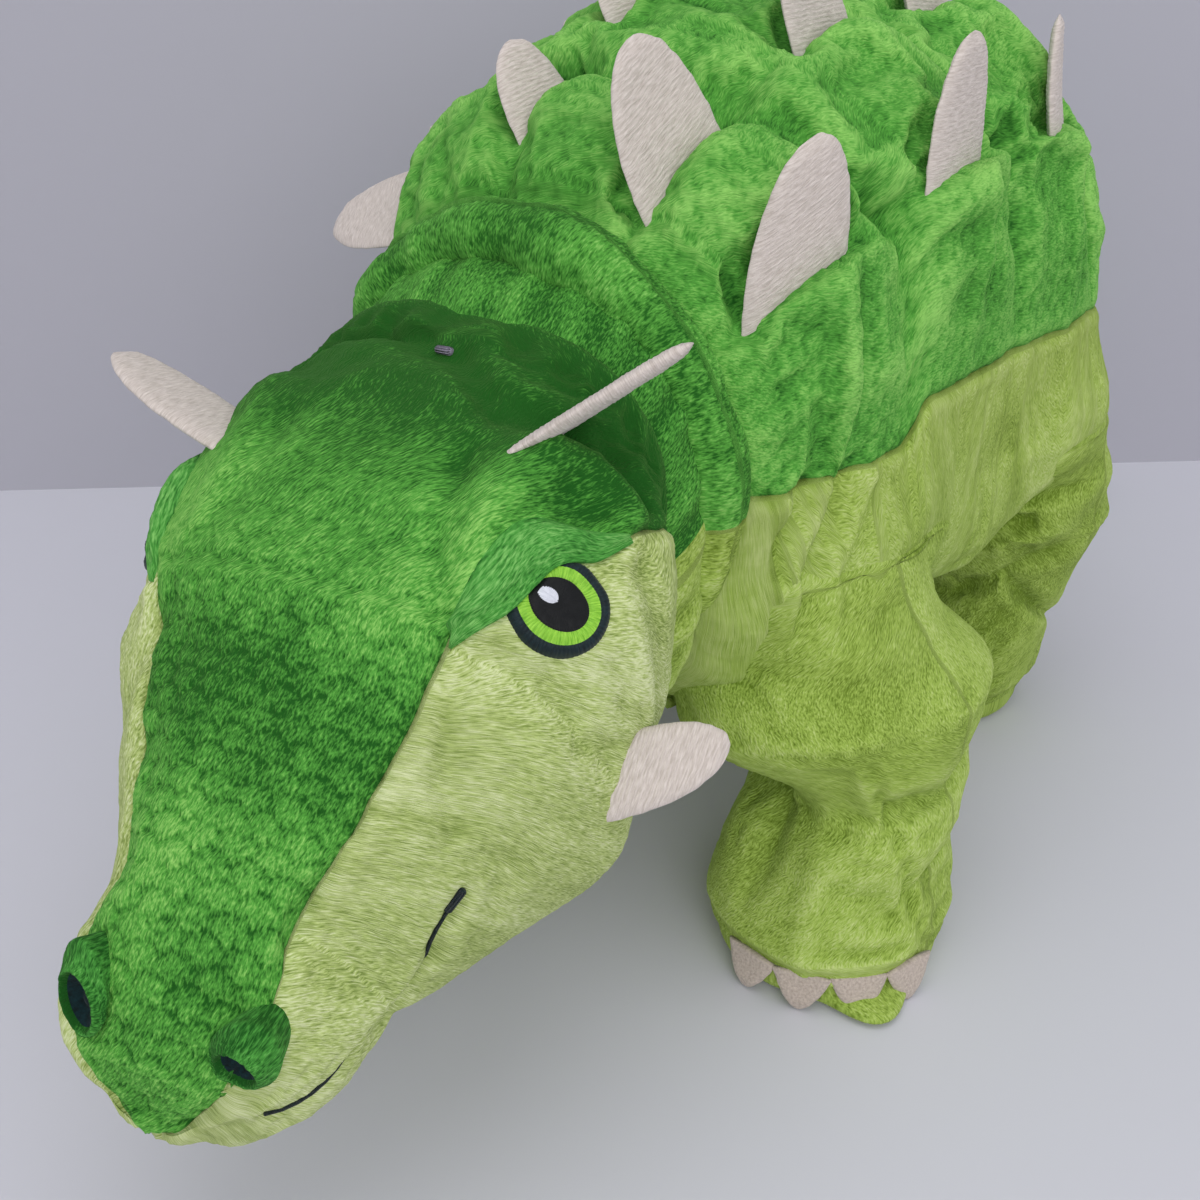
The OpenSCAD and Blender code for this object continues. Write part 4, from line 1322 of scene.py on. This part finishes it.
print("ribs every", RIB_STEP, "mm")

# %% Plates
knit_thick, knit_rib = 3.6, 0.06
deepest = 9.5
for number, (name, (foot, out, way, along, size)) in enumerate(seats.items()):
    sunk = min(deepest, plate_depth / float(np.dot(way, out)))
    height = size[1] + sunk
    piece = leaf(name + "_knit", size[0], height, knit_thick, 2.1, sunk / height, knit_rib, number, KNIT)
    stand(piece, foot - way * sunk, way, along, True)
    settle(piece, "torso", (name,))
print("plates", len(seats))

# %% [markdown]
# ## Horns
# The upper horns stand on the crown behind the lids, and the cheek horns stick out below the eyes. Each
# is a leaf like the plates, with its foot sunk in the cloth, so that it stays joined when seen from any
# side.

# %% Horns
horn_size, cheek_horn_size = (23, 37), (22, 24)
# Side, place and angle on the head, then how far the horn rises and sweeps back and how its foot is skewed
horn_facts = {"right": (-1, 1.4, 54, 16, 5, 30), "left": (1, 1.05, 66, 34, 25, 6)}
horn_sunk, cheek_horn_sunk = 16, 14
cheek_horn_way = {"right": unit(np.array([-0.76, 0.64, 0.1])), "left": unit(np.array([0.8, 0.55, 0.15]))}
for label, (side, u, angle, *turns) in horn_facts.items():
    rise, sweep, skew = np.radians(turns)
    level = math.cos(rise)
    way = np.array([side * level * math.cos(sweep), level * math.sin(sweep), math.sin(rise)])
    base = np.array([side * math.sin(skew), math.cos(skew), 0])
    foot = head_seat(u, angle if side > 0 else 180 - angle)[0]
    way, base = turned(way, head_turn), turned(base, head_turn)
    length = horn_size[1] + horn_sunk
    name = f"horn_{label}"
    piece = leaf(name + "_knit", horn_size[0], length, knit_thick, 2.3, 0.4, knit_rib, 20 + side, KNIT)
    settle(stand(piece, foot - way * horn_sunk, way, base), "head", (name,))
    way = turned(cheek_horn_way[label], head_turn)
    foot_angles = np.array([4, 0])
    feet = head_seat((2.2, 2.8), foot_angles if side > 0 else 180 - foot_angles)[0]
    length = cheek_horn_size[1] + cheek_horn_sunk
    name = f"cheek_horn_{label}"
    piece = leaf(name + "_knit", cheek_horn_size[0], length, knit_thick, 2.3, 0.4, knit_rib, 24 + side, KNIT)
    stand(piece, feet.mean(0) - way * cheek_horn_sunk, way, feet[1] - feet[0], True)
    settle(piece, "head", (name,))
print("horns", 2 * len(horn_facts))

# %% [markdown]
# ## Eyes
# Each eye is embroidered in rings: a dark outline, a lime iris in satin stitch, a black pupil and a pale
# spark. Discs laid on each other would float or cut into the round cheek. So the rings are one sheet of
# stitches laid on the cloth by rays, with fine ridges that run outwards and a finish for each ring.

# %% Eyes
eye_place, eye_angle = 2.03, 47.5
eye_half = (10.4, 11.6)
# Rings of stitches from the middle out: share of the eye's size, and height over the cloth
eye_rings = np.array([*np.linspace(0, 0.5, 20), 0.56, 0.58, 0.66, 0.74, 0.8, 0.82, 0.88, 0.94, 0.99, 1.03])
eye_rise = np.array([*np.full(20, 1.1), 0.95, 1.25, 1.45, 1.4, 1.15, 1.35, 1.45, 1.2, 0.6, -0.6])
# The rings at which the pupil and the iris end
pupil_edge, iris_edge = 20, 24
spark_centre, spark_half = (-0.04, 0.26), (0.15, 0.2)


def embroidered_eye(label, side):
    """An eye as one sheet of stitches on the cheek."""
    angle = eye_angle if side > 0 else right_side(eye_place, eye_angle)
    centre, normal, along, across = head_seat(eye_place, angle)
    up = across if across[2] > 0 else -across
    spokes = np.radians(np.linspace(0, 360, 288, endpoint=False))
    ring, spoke = np.meshgrid(eye_rings, spokes, indexing="ij")
    inner = ease(1, 0.5, ring)
    x, y = ring * np.cos(spoke) * (1 - 0.09 * inner), ring * np.sin(spoke) * (1 + 0.07 * inner)
    sideways, upwards = along * (x * eye_half[0])[..., None], up * (y * eye_half[1])[..., None]
    flat = centre + normal * OUTSIDE + sideways + upwards
    ridges = 0.1 * np.sin(spoke * 72) * (ring > 0.5)
    grid = onto(head_tree, flat, -normal) + normal * (eye_rise[:, None] + ridges)[..., None]
    kept = {"cloth": stack(spoke * 7, ring * 10, 0), "tone": ring}
    piece = cloth_piece(f"eye_{label}_embroidery", grid, kept, PUPIL_THREAD, side < 0, True)
    for extra in (IRIS_THREAD, OUTLINE_THREAD, SPARK_THREAD):
        piece.data.materials.append(extra)
    rows = np.repeat(np.arange(len(eye_rings) - 1), len(spokes))
    kind = np.select([rows < pupil_edge, rows < iris_edge], [0, 1], 2)
    off_x = ((x[:-1] + x[1:]).ravel() / 2 - spark_centre[0]) / spark_half[0]
    off_y = ((y[:-1] + y[1:]).ravel() / 2 - spark_centre[1]) / spark_half[1]
    spark = off_x**2 + off_y**2 < 1
    kind = np.where(spark & (kind == 0), 3, kind)
    piece.data.polygons.foreach_set("material_index", kind.astype(np.int32))
    return settle(piece, "head", (f"eye_{label}",))


for label, side in (("left", 1), ("right", -1)):
    embroidered_eye(label, side)
print("eyes", 2)

# %% [markdown]
# ## Lids
# A lid is a small padded leaf of cooler green between the crown's seam and the top of the eye. Its lower
# edge is free and rolled, and casts a thin shadow on the embroidery. A flat leaf could be bent over the
# brow, but it is easier to write its lower and upper edge in the head's own places, and to raise the
# cloth between them.

# %% Lids
# Both edges from the nose end to the rear end: place along the head, and angle
lid_lower = [(2.62, 64), (2.4, 60), (2.2, 56), (2.0, 54), (1.8, 51), (1.6, 43), (1.33, 38)]
lid_upper = [(2.62, 65), (2.3, 68), (1.95, 68), (1.65, 64.5), (1.52, 55), (1.4, 46), (1.3, 40)]


def lid(label, side):
    """A lid from its edges, raised between them, with its lower edge rolled under."""
    s, v = np.meshgrid(np.linspace(0, 6, 73), np.linspace(0, 1, 33), indexing="ij")
    edges = mix(station_curve(lid_lower, s), station_curve(lid_upper, s), v[..., None])
    u, t = edges[..., 0], edges[..., 1]
    base, normal, _, _ = head_seat(u, t if side > 0 else right_side(u, t))
    ends = np.sin(np.pi * np.clip(s / 6, 0, 1)) ** 0.6
    rise = ends * (1.7 + 1.3 * np.sin(np.pi * v) ** 0.7) + 0.3 - 2.4 * ease(0.6, 1, v)
    cloth = stack(s * 6, v * 14, 3)
    rise = rise + 0.2 * noise(cloth * (1, 2.2, 1), 2.6, 61)
    top = base + normal * rise[..., None]
    under = base - normal * 0.5
    grid = np.concatenate([under[:, :1], mix(under[:, :1], top[:, :1], 0.6), top], 1)
    # Painted shade and light: the lid is darker where its upper edge sinks into the cloth, and lighter along
    # its puffed middle.
    tone = 0.5 + 0.15 * noise(cloth, 7, 62) - 0.2 * ease(0.8, 1, v) + 0.12 * bell(v, 0.45, 0.3)
    kept = {"cloth": cloth, "tone": tone}
    edged = {key: np.concatenate([a[:, :1], a[:, :1], a], 1) for key, a in kept.items()}
    piece = cloth_piece(f"eyelid_{label}_cloth", grid, edged, LID, side > 0)
    return settle(piece, "head", (f"eyelid_{label}",))


for label, side in (("left", 1), ("right", -1)):
    lid(label, side)
print("lids", 2)

# %% [markdown]
# ## Nostrils
# Each nostril is a little hood of green plush round an opening lined in dark teal. A ball could be
# hollowed out, but it would not meet the round nose. So the hood is a run of rings: the first lies on the
# cloth, the next ones rise to a rolled lip and turn in, and none may sink below the cloth. The right one
# lies back and shows its lining, the left one stands up.

# %% Nostrils
# Angle round the head, how far the lip stands up, half width and height of the mouth, half width and length
nostril_facts = {"right": (110, 24, 3.6, 6.4, 5.6, 10.5), "left": (48, 48, 4.4, 4.8, 6.2, 9.5)}
nostril_place, front_share = 6.35, 0.75


def nostril(label, facts):
    """A nostril's hood and lining."""

    def above(ring, gap):
        """Lifts a ring that lies less than a gap over the cloth."""
        ground = onto(head_tree, ring + normal * OUTSIDE, -normal) + normal * gap
        return np.where(np.sum((ring - ground) * normal, -1, keepdims=True) > 0, ring, ground)

    angle, stands, half, high, foot_half, foot_long = facts
    centre, normal, along, across = head_seat(nostril_place, angle)
    stands = math.radians(stands)
    back = -along * math.cos(stands) + normal * math.sin(stands)
    facing = along * math.sin(stands) + normal * math.cos(stands)
    t = np.linspace(0, 2 * np.pi, 72, endpoint=False)
    c, s = np.cos(t)[:, None], np.sin(t)[:, None]
    mouth_centre = centre + along * 1.5 + normal * (0.6 + high * math.sin(stands))
    foot = centre + across * foot_half * c - along * (foot_long * np.where(s > 0, 1, front_share) * s + 2.2)
    foot = onto(head_tree, foot + normal * OUTSIDE, -normal) - normal * 0.6
    outer = above(mouth_centre + across * (half + 1.7) * c + back * (high + 1.7) * s - facing * 0.4, 1.3)
    lip = above(mouth_centre + across * (half + 0.7) * c + back * (high + 0.7) * s + facing * 0.7, 1.9)
    mouth = above(mouth_centre + across * half * c + back * high * s - facing * 0.2, 1.5)
    inside = above(mouth_centre + across * half * 0.9 * c + back * high * 0.9 * s - facing * 2.0, 0.9)
    bulge = mix(foot, outer, 0.5) + (outer - mouth_centre) * 0.22 + normal * (0.8 + 1.6 * np.maximum(s, 0))
    bulge = above(bulge, 1.6)
    low, high_ring = above(mix(foot, bulge, 0.55), 0.8), above(mix(bulge, outer, 0.6), 1.2)
    hood = np.array([foot, low, bulge, high_ring, outer, lip, mouth, inside])
    hood = finer(finer(hood, 4, 0, False), 2, 1, True)
    hood_rows, hood_columns = hood.shape[:2]
    cloth = stack(np.linspace(0, 14, hood_rows)[:, None], np.linspace(0, 44, hood_columns)[None, :], 5)
    hood = hood + 0.22 * noise(cloth * (1, 2, 1), 2.2, 72)[..., None] * facing
    # Painted shade: the hood darkens towards the inside of its opening.
    tone = 0.24 + 0.2 * noise(cloth, 5, 71) - 0.3 * ease(9.5, 12, cloth[..., 0])
    piece = cloth_piece(f"nostril_hood_{label}_cloth", hood, {"cloth": cloth, "tone": tone}, LID, True, True)
    settle(piece, "head", (f"nostril_hood_{label}",))
    rim = mix(mouth, inside, 0.3)
    middle = rim.mean(0)
    steps = np.linspace(0.02, 0.98, 10)
    bowl = np.array([mix(rim, middle, k) - facing * 2.6 * math.sin(math.pi / 2 * k) for k in steps])
    bowl = finer(above(bowl, 1.0), FINE, 0, False)
    kept = {"cloth": bowl, "tone": np.zeros(bowl.shape[:2])}
    piece = cloth_piece(f"nostril_lining_{label}_cloth", bowl, kept, LINING, True, True)
    settle(piece, "head", (f"nostril_lining_{label}",))


for label, facts in nostril_facts.items():
    nostril(label, facts)
print("nostrils", len(nostril_facts))

# %% [markdown]
# ## Soles
# Under each sleeve a sole of lime plush closes the foot. A flat disc would show a hard edge, so the sole
# is a shallow bowl whose rim follows the sleeve's last ring, with a small flap of cloth between the
# claws.

# %% Soles
splay = {"front": 30, "hind": -8}
# Rings of the bowl from its rim to its middle: share of the foot's size, and height
sole_rings = (
    (1.0, 10.5), (1.0, 7), (0.99, 4), (0.96, 1.8), (0.86, 0.5), (0.6, 0.3), (0.3, 0.4), (0.02, 0.5),
)
sole_rows, sole_columns, sole_inset = 50, 120, 0.8


def foot_facts(end, side):
    """Where a foot stands, its half width and half depth, and which way it faces."""
    _, half, depth, _ = leg_stations[end][0]
    foot_x, foot_y = foot_place[end]
    facing = math.radians(side * splay[end] - 90)
    return side * foot_x, foot_y, half - sole_inset, depth - sole_inset, facing


for end, label, side in LEGS:
    name = f"{end}_{label}"
    foot_x, foot_y, half, depth, facing = foot_facts(end, side)
    t = np.radians(np.linspace(0, 360, sole_columns, endpoint=False))
    row = np.linspace(0, len(sole_rings) - 1, sole_rows)
    size, level = (np.interp(row, np.arange(len(sole_rings)), part)[:, None] for part in zip(*sole_rings))
    flap = np.angle(np.exp(1j * (t - facing - side * 0.38)))
    flap = 1 + 0.34 * bell(flap, 0, 0.3) * ease(9, 2, level) * ease(0.4, 0.8, size)
    sole = stack(foot_x + half * size * flap * np.cos(t), foot_y + depth * size * flap * np.sin(t), level)
    cloth = stack(sole[..., 0], sole[..., 1], 0)
    sole[..., 2] = np.maximum(0.15, sole[..., 2] + 0.25 * noise(cloth, 6, 81))
    kept = {"cloth": cloth, "tone": 0.42 + 0.15 * noise(cloth, 9, 82)}
    piece = cloth_piece(f"{name}_sole_cloth", sole, kept, BODY, False, True)
    settle(piece, f"{name}_leg", (f"{name}_sole",))
print("soles", len(LEGS))

# %% [markdown]
# ## Claws
# Four felt claws hang from the seam over each sole. They are leaves like the plates, without ribs and
# with a sharper tip, set round the foot and then joined into one piece, because they are one strip of
# felt.

# %% Claws
claw_size, claw_step, claw_thick, claw_top, claw_count = (17.5, 13.2), 27, 2.8, 13.2, 4


def joined(pieces, name):
    """Pieces joined into the first of them."""
    bpy.ops.object.select_all(action="DESELECT")
    for piece in pieces:
        piece.select_set(True)
    bpy.context.view_layer.objects.active = pieces[0]
    bpy.ops.object.join()
    pieces[0].name = name
    return pieces[0]


for end, label, side in LEGS:
    name = f"{end}_{label}"
    foot_x, foot_y, half, depth, facing = foot_facts(end, side)
    claws = []
    for number in range(claw_count):
        a = facing + math.radians((number - (claw_count - 1) / 2) * claw_step)
        out = np.array([math.cos(a), math.sin(a), 0])
        reach = half * depth / math.hypot(depth * math.cos(a), half * math.sin(a))
        top = np.array([foot_x, foot_y, claw_top]) + out * (reach + 0.6)
        claw = leaf(f"{name}_claw_{number}", *claw_size, claw_thick, 1.2, 0.05, 0, 40 + number, FELT, 0.62)
        claws.append(stand(claw, top, out * 0.2 - np.array([0, 0, 1.0]), np.array([-out[1], out[0], 0])))
    settle(joined(claws, f"{name}_claws_felt"), f"{name}_leg", (f"{name}_claws",))
print("claws", claw_count * len(LEGS))

# %% [markdown]
# ## Mouth and tack
# The mouth is a line of dark back stitches along the jaw with a longer stitch at its corner, and a grey
# tack holds the crown to the neck. A tube along a curve would look like a wire, so the line is made of
# stitches: each is a short rod with beveled ends, laid on the cloth where the last one ends.

# %% Stitches
STITCH_SIDES = 10


def stitch(name, length, radius, material):
    """A rod along Z with rounded ends."""
    bpy.ops.object.select_all(action="DESELECT")
    bpy.ops.mesh.primitive_cylinder_add(
        vertices=STITCH_SIDES, radius=radius * MM, depth=length * MM, location=(0, 0, 0)
    )
    piece = bpy.context.object
    piece.name = name
    bpy.ops.object.mode_set(mode="EDIT")
    bpy.ops.mesh.select_all(action="DESELECT")
    bpy.ops.object.mode_set(mode="OBJECT")
    for edge in piece.data.edges:
        a, b = (piece.data.vertices[v].co.z for v in edge.vertices)
        edge.select = abs(a - b) < 1e-6
    bpy.ops.object.mode_set(mode="EDIT")
    bpy.ops.mesh.bevel(offset=0.6 * radius * MM, segments=3)
    bpy.ops.object.mode_set(mode="OBJECT")
    mesh = piece.data
    add_cloth(mesh, np.array([v.co / MM for v in mesh.vertices]))
    mesh.materials.append(material)
    mesh.shade_smooth()
    return piece


def lay(piece, a, b):
    """Lays a rod from a to b."""
    way = unit(b - a)
    side = unit(np.cross(way, (0.3, 0.2, 0.9)))
    return stand(piece, (a + b) / 2, way, side)


print("stitches have", STITCH_SIDES, "sides")

# %% Mouth
mouth_corner = ((3.95, 8.5), (4.18, 4.5))
stitch_step, stitch_length = 3.4, 4.0
stitches = []
for side in (1, -1):
    u, t = station_curve(mouth_line, np.linspace(0, len(mouth_line) - 1, 200)).T
    line, out, _, _ = head_seat(u, t if side > 0 else right_side(u, t))
    line = np.array([line[max(0, k - 6) : k + 7].mean(0) for k in range(len(line))]) + 0.15 * out
    length = arc(line, 0)
    for mark in np.arange(0, length[-1] - stitch_length, stitch_step):
        ends = np.array([mark, mark + 3.8])
        a, b = np.stack([np.interp(ends, length, line[:, axis]) for axis in range(3)], -1)
        stitches.append(lay(stitch("mouth_stitch", stitch_length, 0.5, OUTLINE_THREAD), a, b))
    u, t = np.array(mouth_corner).T
    ends, out, _, _ = head_seat(u, t if side > 0 else right_side(u, t))
    stitches.append(lay(stitch("mouth_corner", 6.5, 1.2, OUTLINE_THREAD), *(ends + 0.3 * out)))
settle(joined(stitches, "mouth_thread"), "head", ("mouth_stitches",))
print("stitches", len(stitches))

# %% Tack
a, b = (head_seat(0.4, angle) for angle in (88, 94))
tack = lay(stitch("neck_tack_thread", 5.5, 1.1, GREY_THREAD), a[0] + a[1] * 0.5, b[0] + b[1] * 0.5)
settle(tack, "head", ("neck_tack",))
print("tack at", ((a[0] + b[0]) / 2).round(1))

# %% [markdown]
# ## Floor and wall
# A plain pale table and a plain wall behind it, as in the photograph. They only carry the shadow. A
# curved backdrop would hide the edge between them, which the photograph shows, so they are two planes.
# The wall can be seen from its front alone, so that the toy can also be looked at from behind.

# %% Floor and wall
def plain(name, code):
    """A smooth paint of one colour."""
    material, _, shader = new_material(name)
    shader.inputs["Base Color"].default_value = colour(code)
    shader.inputs["Roughness"].default_value = 0.6
    return material


bpy.ops.object.select_all(action="DESELECT")
bpy.ops.mesh.primitive_plane_add(size=6, location=(0, 0, 0))
floor = bpy.context.object
floor.name = "floor"
floor.data.materials.append(plain("table_top", "#cfced6"))
wall_way = math.radians(40.6)
wall_gap = 0.24
wall_foot = (-wall_gap * math.sin(wall_way), wall_gap * math.cos(wall_way), 0)
bpy.ops.mesh.primitive_plane_add(size=6, location=wall_foot, rotation=(math.radians(90), 0, wall_way))
wall = bpy.context.object
wall.name = "wall"
wall_paint = plain("wall_paint", "#b0aeb7")
tree = wall_paint.node_tree
one_sided = node(tree, "ShaderNodeMixShader")
tree.links.new(node(tree, "ShaderNodeNewGeometry").outputs["Backfacing"], one_sided.inputs[0])
tree.links.new(tree.nodes["Principled BSDF"].outputs[0], one_sided.inputs[1])
tree.links.new(node(tree, "ShaderNodeBsdfTransparent").outputs[0], one_sided.inputs[2])
tree.links.new(one_sided.outputs[0], tree.nodes["Material Output"].inputs["Surface"])
wall.data.materials.append(wall_paint)
print("wall", wall_gap, "m behind the middle of the toy")
